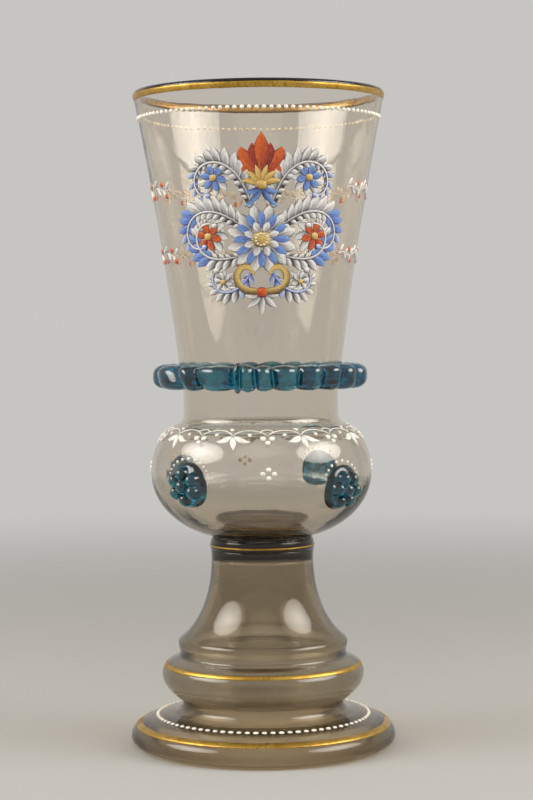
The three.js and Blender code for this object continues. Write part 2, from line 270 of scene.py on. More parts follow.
smokyGlass = glass("smoky_glass", smokyLook)
footGlass = glass("smoky_glass_foot", footLook)
collarGlass = glass("blue_glass_collar", collarLook)
pruntGlass = glass("blue_glass_prunts", pruntLook)
gold = gilding(goldLook)
whiteEnamel = enamel("white_enamel", enamelLook, painted=False)
paintedEnamel = enamel("painted_enamel", enamelLook, painted=True)
print("materials done")


# Meshes
def makePiece(name, points, faces, material, slot, replaced):  # points in millimetres
    mesh = bpy.data.meshes.new(name)
    mesh.from_pydata([Vector(point) * mm for point in points], [], faces)
    mesh.validate()
    return finishPiece(name, mesh, material, slot, replaced)


def finishPiece(name, mesh, material, slot, replaced=()):
    shell = bmesh.new()
    shell.from_mesh(mesh)
    bmesh.ops.recalc_face_normals(shell, faces=shell.faces)
    shell.to_mesh(mesh)
    shell.free()
    mesh.materials.clear()
    mesh.materials.append(material)
    mesh.shade_smooth()
    piece = bpy.data.objects.new(name, mesh)
    bpy.context.scene.collection.objects.link(piece)
    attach(piece, "root")
    if replaced:
        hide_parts(*replaced)
    return piece


def revolved(profile, turns):  # profile closed or ending on the axis, material to its left
    points, faces, rings = [], [], []
    for radius, level in profile:
        if radius < 0.001:
            rings.append([len(points)] * turns)
            points.append((0, 0, level))
            continue
        rings.append(range(len(points), len(points) + turns))
        for turn in range(turns):
            angle = 2 * math.pi * turn / turns
            points.append((radius * math.sin(angle), -radius * math.cos(angle), level))
    for lower, upper in zip(rings, rings[1:]):
        for turn in range(turns):
            after = (turn + 1) % turns
            corners = [lower[turn], lower[after], upper[after], upper[turn]]
            face = [corner for place, corner in enumerate(corners) if corner != corners[place - 1]]
            if len(face) > 2:
                faces.append(face)
    return points, faces


class Outline:  # radius and height in millimetres
    def __init__(self, radius, level):
        self.points = [(radius, level)]

    def trace(self, at):
        rough = [at(step / 16) for step in range(17)]
        length = sum(math.dist(a, b) for a, b in zip(rough, rough[1:]))
        steps = max(3, math.ceil(length / fineness["outline"]))
        self.points += [at(step / steps) for step in range(1, steps + 1)]

    def bend(self, *handles):  # a straight line, or a Bezier curve whose last handle is its end
        def at(share, points=(self.points[-1], *handles)):
            while len(points) > 1:
                points = [between(a, b, share) for a, b in zip(points, points[1:])]
            return points[0]
        self.trace(at)

    def ellipse(self, centre, width, height, start, end):  # angles in radians, 0 points away from the axis
        def at(share):
            angle = between(start, end, share)
            return centre[0] + width * math.cos(angle), centre[1] + height * math.sin(angle)
        self.trace(at)


def inset(points, walls):  # the points moved square to the line that they make, to the left of its run
    moved = []
    for place, (radius, level) in enumerate(points):
        before, after = points[max(place - 1, 0)], points[min(place + 1, len(points) - 1)]
        run = Vector((after[0] - before[0], after[1] - before[1])).normalized()
        moved.append((radius - run.y * walls[place], level + run.x * walls[place]))
    return moved


# The smoky glass: foot, merese and bowl
footSize = dict(
    contactRadius=58, contactWidth=2.6, edgeRadius=65.4, edgeLevel=4.8,
    shoulderRadius=61.6, shoulderLevel=11.3, apronRadius=43.5, apronLevel=16.9,
    waistRadius=39.3, waistLevel=22.3, torusRadius=50, torusLevel=35.2,
    stepRootRadius=40.5, stepRootLevel=44.6, stepRadius=42.1, stepLevel=51.3,
    ledgeRadius=38.9, ledgeLevel=54.6, bellTopRadius=25.1, neck=5.3, topRadius=25.5, height=97.0,
    wall=3.0, bellWall=3.9, boreFillet=3.5, boreDepth=7.3, crown=2.3,
    softening=4, hollowSoftening=6,  # how often the corners are rounded, outside and inside
    bellDullness=0.2, dullnessFade=9,  # how dull the bell is inside, and the way up to there
)
bowlSize = dict(
    level=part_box("bowl")[0].z / mm, bulbRadius=54.3, bulbDepth=32.5, bulbFlatRadius=12.5, bulbRise=24.2,
    neckRadius=38, neckFillet=4.2, neckHeight=19.3, beakerFootRadius=38.9, rimRadius=61.2,
    rimLevel=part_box("bowl")[1].z / mm, beakerBow=1.5, wall=2.3, bottom=4.2,
)
mereseSize = dict(notchRadius=24, radius=25.8, overlap=0.1)
bulbLevel = bowlSize["level"] + bowlSize["bulbDepth"]
shoulderTop = bulbLevel + bowlSize["bulbRise"]
neckTop = shoulderTop + bowlSize["neckHeight"]


def bowlOutline(size):  # from the flat of the bottom up to the lip
    width = size["bulbRadius"] - size["neckRadius"]
    fillet = math.acos(min(0.9, 1.2 * size["neckFillet"] / width))
    flat, neck, rise = size["bulbFlatRadius"], size["neckRadius"], size["bulbRise"]
    line = Outline(flat, size["level"])
    line.ellipse((flat, bulbLevel), size["bulbRadius"] - flat, size["bulbDepth"], -math.pi / 2, 0)
    line.ellipse((neck, bulbLevel), width, rise, 0, fillet)
    line.bend((neck, shoulderTop), (neck, shoulderTop + size["neckFillet"]))
    line.bend((neck, neckTop - 2))
    line.bend((neck, neckTop - 0.6), (size["beakerFootRadius"], neckTop + 1))
    bowed = (size["beakerFootRadius"] + size["rimRadius"]) / 2 - 2 * size["beakerBow"]
    end = size["rimLevel"] - size["wall"] / 2
    line.bend((bowed, (neckTop + size["rimLevel"]) / 2), (size["rimRadius"], end))
    return line.points


# How hand-blown glass strays from round, as waves: millimetres, turns, and radians a millimetre of height
outerWaves = [(0.16, 2, 1 / 55), (0.08, 3, -1 / 31), (0.03, 7, 1 / 19)]
innerWaves = [*outerWaves, (0.09, 5, 1 / 43), (0.03, 11, -1 / 37)]


def blown(angle, level, waves=outerWaves):
    return sum(swing * math.sin(turns * angle + level * rise) for swing, turns, rise in waves)


def stray(point, waves):  # moves a point of a revolved wall as blown glass strays, and less near the axis
    reach = math.hypot(point[0], point[1])
    away = blown(math.atan2(point[0], -point[1]), point[2], waves) * min(reach / 30, 1)
    share = 1 + away / max(reach, 1)
    return point[0] * share, point[1] * share, point[2]


def makeBowl(size):
    outer = bowlOutline(size)
    walls = [between(size["bottom"], size["wall"], ease(0, size["bulbDepth"], level - size["level"]))
             for radius, level in outer]
    inner = inset(outer, walls)
    middle = between(outer[-1], inner[-1], 0.5)
    lip = Outline(*outer[-1])
    lip.ellipse(middle, size["wall"] / 2, size["wall"] / 2, 0.35, math.pi - 0.1)
    seam = len(outer) + len(lip.points) // 2
    profile = [(0, size["level"]), *outer, *lip.points[1:], *reversed(inner), (0, inner[0][1])]
    points, faces = revolved(profile, fineness["turns"])
    points = [stray(point, outerWaves if place // fineness["turns"] < seam else innerWaves)
              for place, point in enumerate(points)]
    makePiece("goblet_bowl", points, faces, smokyGlass, "smoky_glass", ["bowl"])
    return outer


def footOutline(size):  # from the outside of the contact ring up to the top of the bell
    run = size["shoulderRadius"] - size["apronRadius"]
    fall = 1.7 * (size["apronLevel"] - size["shoulderLevel"]) / run
    turn = size["shoulderRadius"] - (size["apronLevel"] - size["shoulderLevel"]) / fall
    edge, shoulder, torus = size["edgeRadius"], size["shoulderRadius"], size["torusRadius"]
    bellTop = size["height"] - size["neck"]
    rise = bellTop - size["ledgeLevel"]
    line = Outline(size["contactRadius"], 0)
    line.ellipse((size["contactRadius"], size["edgeLevel"]), edge - size["contactRadius"], size["edgeLevel"],
                 -math.pi / 2, 0)
    line.bend((edge, size["shoulderLevel"] - (edge - shoulder) * fall), (shoulder, size["shoulderLevel"]))
    line.bend((turn, size["apronLevel"]), (size["apronRadius"], size["apronLevel"] + 0.1))
    line.bend((size["waistRadius"] + 1, size["apronLevel"] + 0.6), (size["waistRadius"], size["waistLevel"]))
    line.bend((torus - 7, size["waistLevel"] + 2.6),
              (torus - 0.6, (size["waistLevel"] + size["torusLevel"]) / 2), (torus, size["torusLevel"]))
    line.bend((torus, size["stepRootLevel"] - 4), (torus - 4, size["stepRootLevel"] - 1.6),
              (size["stepRootRadius"], size["stepRootLevel"]))
    line.bend((size["stepRadius"], size["stepLevel"]))
    line.bend((size["stepRadius"] + 0.3, size["ledgeLevel"] - 1.4), (size["ledgeRadius"], size["ledgeLevel"]))
    line.bend((size["bellTopRadius"] + 3.9, size["ledgeLevel"] + 0.25 * rise),
              (size["bellTopRadius"] + 0.4, size["ledgeLevel"] + 0.63 * rise),
              (size["bellTopRadius"], bellTop))
    line.bend((size["bellTopRadius"], bellTop + size["neck"] / 2), (size["topRadius"], size["height"]))
    return line.points


def footHollow(size):  # from under the crown down to the inside of the contact ring
    wall, torus, waist = size["wall"], size["torusRadius"] - size["wall"], size["waistRadius"] - size["wall"]
    bore, top = size["bellTopRadius"] - size["bellWall"], size["height"] - size["crown"]
    boreEnd = size["height"] - size["neck"] - size["boreDepth"]
    rise = boreEnd - size["ledgeLevel"]
    line = Outline(0, top)
    line.bend((bore - size["boreFillet"], top))
    line.bend((bore, top), (bore, top - size["boreFillet"]))
    line.bend((bore, boreEnd))
    line.bend((bore + 0.5, size["ledgeLevel"] + 0.6 * rise), (bore + 5, size["ledgeLevel"] + 0.24 * rise),
              (size["ledgeRadius"] - size["bellWall"], size["ledgeLevel"] - wall))
    line.bend((size["stepRadius"] - wall, size["stepLevel"] - 1),
              (size["stepRootRadius"] - wall, size["stepRootLevel"] - 0.5))
    line.bend((torus - 2, size["stepRootLevel"] - wall - 1), (torus, size["torusLevel"] + 4),
              (torus, size["torusLevel"]))
    line.bend((torus, size["torusLevel"] - 5), (torus - 3.5, size["waistLevel"] + wall + 0.6),
              (waist, size["waistLevel"]))
    line.bend((waist + 1, size["apronLevel"] - wall + 0.6),
              (size["apronRadius"] - 1, size["apronLevel"] - wall))
    line.bend((size["shoulderRadius"] - 6, size["apronLevel"] - wall),
              (size["shoulderRadius"] - wall, size["shoulderLevel"] - wall))
    line.bend((size["edgeRadius"] - wall, size["edgeLevel"]),
              (size["contactRadius"] - size["contactWidth"], 0))
    return line.points


def softened(points, passes):  # rounds the corners of an outline and keeps its ends
    for turn in range(passes):
        middle = [between(between(before, after, 0.5), here, 0.5)
                  for before, here, after in zip(points, points[1:], points[2:])]
        points = [points[0], *middle, points[-1]]
    return points


def dullness(level, size):  # of the hollow: full up to the ledge, and less in the bell above it
    below = (size["ledgeLevel"] + size["dullnessFade"] - level) / size["dullnessFade"]
    return between(size["bellDullness"], 1, min(1, max(0, below)))


def makeFoot(size):
    outer = softened(footOutline(size), size["softening"])
    hollow = softened(footHollow(size), size["hollowSoftening"])
    points, faces = revolved([*hollow, *outer, (0, size["height"])], fineness["turns"])
    first = 1 + (len(hollow) - 1) * fineness["turns"]  # where the outer wall begins
    points = [stray(point, innerWaves if place < first else outerWaves) for place, point in enumerate(points)]
    foot = makePiece("goblet_foot", points, faces, footGlass, "smoky_glass", ["foot"])
    dull = [dullness(point[2], size) if place < first else 0.0 for place, point in enumerate(points)]
    foot.data.attributes.new("dull", "FLOAT", "POINT").data.foreach_set("value", dull)
    return outer


def makeMerese(size, bowlWall):
    below = [(radius, level + size["overlap"]) for radius, level in bowlWall
             if radius <= size["notchRadius"] and level < bulbLevel]
    groove = below[-1]
    foot = footSize["height"] - size["overlap"]
    line = Outline(footSize["topRadius"], foot)
    line.bend((size["radius"], between(foot, groove[1], 0.3)),
              (size["radius"] + 0.3, groove[1] - 1), groove)
    profile = [(0, foot), *line.points, *reversed(below[:-1]), (0, below[0][1])]
    points, faces = revolved(profile, fineness["turns"])
    points = [stray(point, outerWaves) for point in points]
    makePiece("goblet_merese", points, faces, footGlass, "smoky_glass", ["merese"])
    return line.points


bowlWall = makeBowl(bowlSize)
footWall = makeFoot(footSize)
mereseWall = makeMerese(mereseSize, bowlWall)
print("smoky glass done")


# A blown wall to lay things on: across runs round it to the right and up along it, both in millimetres.
# A true wall is exactly round, for what strays with the glass only later.
class Wall:
    def __init__(self, outline, level, azimuth=0, true=False):
        self.azimuth, self.true = math.radians(azimuth), true
        self.points, self.lengths = outline, [0]
        for before, after in zip(outline, outline[1:]):
            self.lengths.append(self.lengths[-1] + math.dist(before, after))
        self.start = 0
        self.start = self.lengthAt(level)

    def lengthAt(self, level):  # how far up the wall a level lies
        for place, (before, after) in enumerate(zip(self.points, self.points[1:])):
            if before[1] <= level <= after[1]:
                share = (level - before[1]) / max(after[1] - before[1], 1e-6)
                return between(self.lengths[place], self.lengths[place + 1], share) - self.start
        return self.lengths[-1] - self.start

    def at(self, up):  # radius, height and the way out of the wall
        target = min(max(up + self.start, 0.001), self.lengths[-1] - 0.001)
        place = next(step for step, length in enumerate(self.lengths) if length > target) - 1
        share = (target - self.lengths[place]) / (self.lengths[place + 1] - self.lengths[place])
        here = between(self.points[place], self.points[place + 1], share)
        return *here, self.outward(place, share)

    def outward(self, place, share):
        def run(step):
            low, high = max(step - 1, 0), min(step + 1, len(self.points) - 1)
            return self.points[high][0] - self.points[low][0], self.points[high][1] - self.points[low][1]
        across, rise = between(run(place), run(place + 1), share)
        length = math.hypot(across, rise)
        return rise / length, -across / length

    def lay(self, across, up, lift):
        radius = self.at(up)[0]
        return self.layAt(across / radius, up, lift)

    def layAt(self, turn, up, lift):  # the same, with an angle in radians for across
        radius, level, (away, rise) = self.at(up)
        angle = self.azimuth + turn
        reach = radius + away * lift + (0 if self.true else blown(angle, level))
        return reach * math.sin(angle), -reach * math.cos(angle), level + rise * lift


def tube(sections):  # joins closed sections into a ring
    count = len(sections[0])
    points = [point for section in sections for point in section]
    faces = []
    for turn in range(len(sections)):
        here, after = turn * count, (turn + 1) % len(sections) * count
        for side in range(count):
            beside = (side + 1) % count
            faces.append([here + side, after + side, after + beside, here + beside])
    return points, faces


# Gilding: thin bands on the glass
goldSize = dict(
    thickness=0.25, edge=0.02, sink=0.05, turns=192, steps=6,
    frayLow=[(0.05, 9, 1), (0.03, 31, 0)],  # waves of each edge: millimetres, turns, start in radians
    frayHigh=[(0.05, 7, 0), (0.03, 27, 2)],
)
bands = dict(  # where each band's lower edge lies, and how wide it is
    rim=dict(wall=bowlWall, low=bowlSize["rimLevel"] - 4.2, width=2.9),
    merese=dict(wall=mereseWall, low=mereseWall[-1][1] - 5, width=0.8),
    torus=dict(wall=footWall, low=footSize["torusLevel"] + 4.3, width=1.9),
    foot=dict(wall=footWall, low=footSize["shoulderLevel"] - 1, width=1.9),
)


def frayed(waves, angle):
    return sum(swing * math.sin(turns * angle + start) for swing, turns, start in waves)


def makeBand(size, name, wall, low, width):
    ground = Wall(wall, low)
    length = ground.lengthAt(low + width)
    shares = [step / size["steps"] for step in range(size["steps"] + 1)]
    sections = []
    for turn in range(size["turns"]):
        angle = 2 * math.pi * turn / size["turns"]
        start, end = frayed(size["frayLow"], angle), length + frayed(size["frayHigh"], angle)
        section = []
        for share in shares:
            lift = size["thickness"] * (1 - abs(2 * share - 1) ** 4) + size["edge"]
            section.append((between(start, end, share), lift))
        section += [(end, -size["sink"]), (start, -size["sink"])]
        sections.append([ground.layAt(angle, up, lift) for up, lift in section])
    makePiece(f"gold_{name}_band", *tube(sections), gold, "gilding", [f"{name}_gilding"])


for name, band in bands.items():
    makeBand(goldSize, name, **band)
print("gilding done")


# Blue glass: the pinched collar
collarSize = dict(
    radius=52.7, height=12.2, seat=9.0, lift=3.6,  # lift of its middle over the top of the neck
    frontSquareness=0.54, sideSquareness=0.8,  # exponents of the section: 1 is an ellipse, 0 a box
    pinch=5.4, slimming=0.27,  # how far the pincers drew the trail in, and the share of the height lost there
    sharpness=0.52, skew=0.1, dish=(0.05, 0.35), overlap=0.12, pointsRound=38, pointsOfSeat=7, seed=4,
)
# Where each lobe starts in degrees, how far the crease there leans to the left, and how far it swells
lobes = [
    (-50.5, 3.4, 0.1), (-36.5, 3.0, -0.3), (-14.8, 0.4, -0.1), (-11.2, -0.2, -0.9), (-2.4, 0.6, 0.2),
    (7.7, 0.8, 0.1), (22.5, -0.8, 0.1), (37.4, -1.2, -0.2), (51.9, -1.6, 0.1), (68, -1, 0.3), (84, 0.5, 0.0),
    (101, 1.5, -0.3), (116, -1, 0.2), (133, 0.8, -0.1), (150, 1.8, 0.2), (165, -1.6, 0.0), (182, 0.4, -0.3),
    (198, 1.2, 0.2), (215, -1.4, 0.0), (231, -0.6, 0.3), (247, 1.6, -0.2), (262, 2.2, 0.3), (280, 2.4, 0.4),
]
# Bumps where the ends of the trail meet: azimuth and spread in degrees, rise, and 1 for above or -1 for below
trailEnds = [(-11.5, 3.2, 1.5, 1), (-12.9, 1.3, 1.1, -1), (-6, 3.5, 0.5, -1)]


# A section across the trail, full in the middle of a lobe and 0 at a pinch
def collarSection(size, ground, azimuth, lean, full, swell, dish):
    inner, level = bowlSize["neckRadius"] + 0.5, neckTop + size["lift"]
    outer = size["radius"] - size["pinch"] * (1 - full) + swell * full
    half = size["height"] / 2 * (1 - size["slimming"] * (1 - full))
    middle = between(inner, outer, 0.42)
    sideways = ease(0.8, 0.1, math.cos(math.radians(azimuth)))
    squareness = between(size["frontSquareness"], size["sideSquareness"], sideways)
    section = []
    for spot in range(size["pointsRound"]):
        angle = math.radians(between(-90, 90, spot / (size["pointsRound"] - 1)))
        across = max(math.cos(angle), 0) ** squareness
        rise = math.copysign(abs(math.sin(angle)) ** squareness, angle)
        bump = sum(tall * side * max(rise * side, 0) ** 3 * math.exp(-((azimuth - place) / spread) ** 2)
                   for place, spread, tall, side in trailEnds)
        turn = math.radians(azimuth - lean * rise * across)
        reach = between(middle, outer, across) - dish * full * math.exp(-(rise / 0.5) ** 2) * across
        section.append((reach * math.sin(turn), -reach * math.cos(turn), level + half * rise + bump))
    for spot in range(size["pointsOfSeat"]):
        up = between(0.5, -0.5, spot / (size["pointsOfSeat"] - 1)) * size["seat"]
        section.append(ground.layAt(math.radians(azimuth), up, -size["overlap"]))
    return section


def makeCollar(size):
    ground = Wall(bowlWall, neckTop + size["lift"])
    chance = random.Random(size["seed"])
    sections = []
    for (start, startLean, swell), (end, endLean, _) in zip(lobes, [*lobes[1:], lobes[0]]):
        end += 360 if end < start else 0
        skew, dish = chance.uniform(-size["skew"], size["skew"]), chance.uniform(*size["dish"])
        steps = max(12, round((end - start) * 1.4))
        for step in range(steps):
            share = step / steps
            bent = share + skew * math.sin(math.pi * share) ** 2
            full = max(math.sin(math.pi * bent), 0) ** size["sharpness"]
            azimuth, lean = between(start, end, share), between(startLean, endLean, share)
            sections.append(collarSection(size, ground, azimuth, lean, full, swell, dish))
    makePiece("pinched_collar", *tube(sections), collarGlass, "blue_glass", ["rigaree_collar"])


makeCollar(collarSize)
print("collar done")


# Geometry Nodes
def newTree(name, inputs):
    tree = bpy.data.node_groups.new(name, "GeometryNodeTree")
    nodes = Nodes(tree)
    tree.interface.new_socket("Geometry", in_out="INPUT", socket_type="NodeSocketGeometry")
    for label, kind in inputs.items():
        tree.interface.new_socket(label, in_out="INPUT", socket_type=f"NodeSocket{kind}")
    tree.interface.new_socket("Geometry", in_out="OUTPUT", socket_type="NodeSocketGeometry")
    entry = tree.nodes.new("NodeGroupInput")
    wires = {socket.name: Wire(nodes, socket) for socket in entry.outputs if socket.name}
    return nodes, wires


def endTree(nodes, given, geometry, onGlass=True):  # onGlass moves every point as the blown wall strays
    real = nodes.add("GeometryNodeRealizeInstances", {}, {0: geometry})
    if onGlass:
        real = nodes.add("GeometryNodeSetPosition", {}, {"Geometry": real, "Offset": blownNodes(nodes)})
    shown = nodes.add("GeometryNodeSetMaterial", {}, {"Geometry": real, "Material": given["Material"]})
    smooth = nodes.add("GeometryNodeSetShadeSmooth", {}, {"Geometry": shown})
    nodes.add("NodeGroupOutput", {}, {0: smooth})


def blownNodes(nodes):  # the same as blown, in nodes and metres
    spot = nodes.add("GeometryNodeInputPosition")
    x, y, z = nodes.parts(spot)
    angle = nodes.maths("ARCTAN2", x, y * -1.0)
    level = z / mm

    def wave(swing, turns, rise):
        return nodes.maths("SINE", angle * turns + level * rise) * (swing * mm)

    first, second, third = (wave(*values) for values in outerWaves)
    away = first + second + third
    flat = nodes.add("ShaderNodeVectorMath", {"operation": "MULTIPLY"}, {0: spot, 1: (1, 1, 0)})
    out = nodes.add("ShaderNodeVectorMath", {"operation": "NORMALIZE"}, {0: flat})
    return nodes.add("ShaderNodeVectorMath", {"operation": "SCALE"}, {0: out, "Scale": away})


def grow(tree, host, values):  # the plain mesh that a tree makes of a host mesh
    carrier = bpy.data.objects.new("carrier", host)
    bpy.context.scene.collection.objects.link(carrier)
    modifier = carrier.modifiers.new("grow", "NODES")
    modifier.node_group = tree
    for item in tree.interface.items_tree:
        if item.in_out == "INPUT" and item.name in values:
            modifier[item.identifier] = values[item.name]
    made = carrier.evaluated_get(bpy.context.evaluated_depsgraph_get())
    mesh = bpy.data.meshes.new_from_object(made)
    carrier.modifiers.clear()
    bpy.data.objects.remove(carrier)
    return mesh


def beadTree():  # beads of enamel set round the glass, each a little different
    nodes, given = newTree("bead_row", {
        "Count": "Int", "Radius": "Float", "Level": "Float", "Length": "Float", "Height": "Float",
        "Relief": "Float", "Tilt": "Float", "Unevenness": "Float", "Seed": "Int", "Material": "Material",
    })
    ring = nodes.add("GeometryNodeMeshCircle", {}, {"Vertices": given["Count"], "Radius": given["Radius"]})
    x, y, z = nodes.parts(nodes.add("GeometryNodeInputPosition"))
    angle = nodes.maths("ARCTAN2", y, x)
    turned = nodes.add("ShaderNodeCombineXYZ", {}, {"Y": given["Tilt"], "Z": angle})

    def chance(step, low, high):
        return nodes.add("FunctionNodeRandomValue", {"data_type": "FLOAT"}, {
            2: low, 3: high, "Seed": given["Seed"] + step,
        }, 1)

    swell = 1 + given["Unevenness"] * chance(1, -1.0, 1.0)
    size = nodes.add("ShaderNodeCombineXYZ", {}, {
        "X": given["Relief"], "Y": given["Length"] * swell, "Z": given["Height"] * swell,
    })
    raised = nodes.add("GeometryNodeSetPosition", {}, {
        "Geometry": ring, "Offset": nodes.add("ShaderNodeCombineXYZ", {}, {
            "Z": given["Level"] + given["Height"] * given["Unevenness"] * 0.5 * chance(2, -1.0, 1.0)}),
    })
    bead = nodes.add("GeometryNodeMeshIcoSphere", {}, {"Radius": 1.0, "Subdivisions": 2})
    row = nodes.add("GeometryNodeInstanceOnPoints", {}, {
        "Points": raised, "Instance": bead, "Rotation": turned, "Scale": size,
    })
    endTree(nodes, given, row)
    return nodes.tree


beadRows = dict(  # half sizes of a bead in millimetres, and the share by which it differs from the next
    rim_bead_row=dict(
        wall=bowlWall, level=307.1, count=108, length=1.02, height=1.0, relief=0.72, unevenness=0.07, seed=3,
    ),
    foot_bead_row=dict(
        wall=footWall, level=15.4, count=81, length=1.32, height=0.95, relief=0.6, unevenness=0.07, seed=8,
    ),
)
beadMaker = beadTree()


def makeBeadRow(name, wall, level, count, length, height, relief, unevenness, seed):
    radius, level, (away, rise) = Wall(wall, level).at(0)
    mesh = grow(beadMaker, bpy.data.meshes.new("empty"), {
        "Count": count, "Radius": radius * mm, "Level": level * mm, "Length": length * mm,
        "Height": height * mm, "Relief": relief * mm, "Tilt": -math.atan2(rise, away),
        "Unevenness": unevenness, "Seed": seed, "Material": whiteEnamel,
    })
    finishPiece(name, mesh, whiteEnamel, "white_enamel")


for name, row in beadRows.items():
    makeBeadRow(name, **row)
print("bead rows done")


# Blue glass: raspberry prunts
pruntSize = dict(
    radius=11.3, edge=1.5, edgeSquareness=3.2, crown=1.8, overlap=0.12,
    knobs=6, knobPitch=5.9, knobRadius=3.08, knobHeight=3.6, knobStray=0.3, knobBluntness=0.52, seed=5,
    rings=44, spokes=96, crowding=1.25,  # above 1 the rings of points crowd towards the edge
)
# Azimuth in degrees, how far below the bulb's widest level, and turn of the pattern in degrees
pruntSpots = dict(
    prunt_front_left=(-39.5, 3.3, 32), prunt_front_right=(46.5, 5.5, -3),
    prunt_back_right=(146, 2.6, 21), prunt_back_left=(232, 3.6, 3),
)


def pruntTree(size):  # raises round knobs, one in the middle and the others about it, on the face of a pad
    nodes, given = newTree("raspberry", {
        "Knobs": "Int", "Pitch": "Float", "Knob Radius": "Float", "Knob Height": "Float", "Turn": "Float",
        "Material": "Material",
    })
    ring = nodes.add("GeometryNodeMeshCircle", {}, {"Vertices": given["Knobs"], "Radius": given["Pitch"]})
    middle = nodes.add("GeometryNodeMeshLine", {}, {"Count": 1})
    both = nodes.tree.nodes.new("GeometryNodeJoinGeometry")
    for part in (ring, middle):
        nodes.tree.links.new(part.socket, both.inputs[0])
    turned = nodes.add("GeometryNodeTransform", {}, {
        "Geometry": Wire(nodes, both.outputs[0]),
        "Rotation": nodes.add("ShaderNodeCombineXYZ", {}, {"Z": given["Turn"]}),
    })
    far = size["knobStray"]
    strays = nodes.add("FunctionNodeRandomValue", {"data_type": "FLOAT_VECTOR"}, {
        0: (-far, -far, 0), 1: (far, far, 0), "Seed": size["seed"],
    })
    knobs = nodes.add("GeometryNodeSetPosition", {}, {"Geometry": turned, "Offset": strays})
    x, y, z = nodes.parts(nodes.add("GeometryNodeInputPosition"))
    level = nodes.add("ShaderNodeCombineXYZ", {}, {"X": x, "Y": y})
    away = nodes.add("GeometryNodeProximity", {"target_element": "POINTS"}, {
        0: knobs, "Sample Position": level,
    }, "Distance")
    share = (away / given["Knob Radius"]).atMost(1.0)
    dome = (1 - share * share) ** size["knobBluntness"]
    face = {"data_type": "FLOAT"}
    top = nodes.add("GeometryNodeInputNamedAttribute", face, {"Name": "face"}, "Attribute")
    lifted = nodes.add("GeometryNodeSetPosition", {}, {
        "Geometry": given["Geometry"],
        "Offset": nodes.add("ShaderNodeCombineXYZ", {}, {"Z": dome * given["Knob Height"] * top}),
    })
    endTree(nodes, given, lifted, onGlass=False)
    return nodes.tree


def pruntBlank(size):  # a flat round pad in millimetres, its face marked 1 in the attribute face
    rings, spokes, radius = size["rings"], size["spokes"], size["radius"]
    levels = []  # reach, lift and mark of each circle of points
    for ring in range(1, rings + 1):
        share = 1 - (1 - ring / rings) ** size["crowding"]
        edge = (1 - share ** size["edgeSquareness"]) ** 0.5
        levels.append((radius * share, size["edge"] * edge + size["crown"] * (1 - share ** 2), 1.0))
    levels += [(radius * 0.995, -size["overlap"], 0.0), (radius * 0.5, -size["overlap"], 0.0)]
    points, faces, marks = [(0, 0, size["edge"] + size["crown"])], [], [1.0]
    for reach, lift, mark in levels:
        for spoke in range(spokes):
            angle = 2 * math.pi * spoke / spokes
            points.append((reach * math.cos(angle), reach * math.sin(angle), lift))
            marks.append(mark)
    points.append((0, 0, -size["overlap"]))
    marks.append(0.0)
    circles = [[1 + ring * spokes + spoke for spoke in range(spokes)] for ring in range(len(levels))]
    for spoke in range(spokes):
        after = (spoke + 1) % spokes
        faces.append([0, circles[0][spoke], circles[0][after]])
        for inner, outer in zip(circles, circles[1:]):
            faces.append([inner[spoke], outer[spoke], outer[after], inner[after]])
        faces.append([circles[-1][spoke], len(points) - 1, circles[-1][after]])
    mesh = bpy.data.meshes.new("pad")
    mesh.from_pydata(points, [], faces)
    mesh.attributes.new("face", "FLOAT", "POINT").data.foreach_set("value", marks)
    return mesh


def makePrunts(size):
    maker, blank = pruntTree(size), pruntBlank(size)
    for name, (azimuth, drop, turn) in pruntSpots.items():
        mesh = grow(maker, blank, {
            "Knobs": size["knobs"], "Pitch": size["knobPitch"], "Knob Radius": size["knobRadius"],
            "Knob Height": size["knobHeight"], "Turn": math.radians(turn), "Material": pruntGlass,
        })
        ground = Wall(bowlWall, bulbLevel - drop, azimuth)
        for vertex in mesh.vertices:
            vertex.co = Vector(ground.lay(*vertex.co)) * mm
        finishPiece(name.replace("prunt", "raspberry"), mesh, pruntGlass, "blue_glass", [name])


makePrunts(pruntSize)
print("prunts done")


# Enamel: dots
def dotTree():  # a raised dot on each point of a mesh, turned and sized by the point's own attributes
    nodes, given = newTree("dots", {"Material": "Material"})
    size = nodes.add("GeometryNodeInputNamedAttribute", {"data_type": "FLOAT_VECTOR"}, {"Name": "size"})
    facing = nodes.add("GeometryNodeInputNamedAttribute", {"data_type": "FLOAT_VECTOR"}, {"Name": "facing"})
    dot = nodes.add("GeometryNodeMeshIcoSphere", {}, {"Radius": 1.0, "Subdivisions": 3})
    row = nodes.add("GeometryNodeInstanceOnPoints", {}, {
        "Points": given["Geometry"], "Instance": dot, "Rotation": facing, "Scale": size,
    })
    endTree(nodes, given, row)
    return nodes.tree


dotMaker = dotTree()


def dotMesh(dots):  # dots are (wall, across, up, half width, half height, relief)
    points, sizes, facings = [], [], []
    for ground, across, up, wide, tall, relief in dots:
        radius, level, (away, rise) = ground.at(up)
        angle = ground.azimuth + across / radius
        points.append((radius * math.sin(angle) * mm, -radius * math.cos(angle) * mm, level * mm))
        sizes.append((relief * mm, wide * mm, tall * mm))
        facings.append((0, -math.atan2(rise, away), angle - math.pi / 2))
    mesh = bpy.data.meshes.new("dots")
    mesh.from_pydata(points, [], [])
    for label, values in (("size", sizes), ("facing", facings)):
        layer = mesh.attributes.new(label, "FLOAT_VECTOR", "POINT")
        layer.data.foreach_set("vector", [part for value in values for part in value])
    return mesh


def makeDots(name, dots):
    mesh = grow(dotMaker, dotMesh(dots), {"Material": whiteEnamel})
    finishPiece(name, mesh, whiteEnamel, "white_enamel")


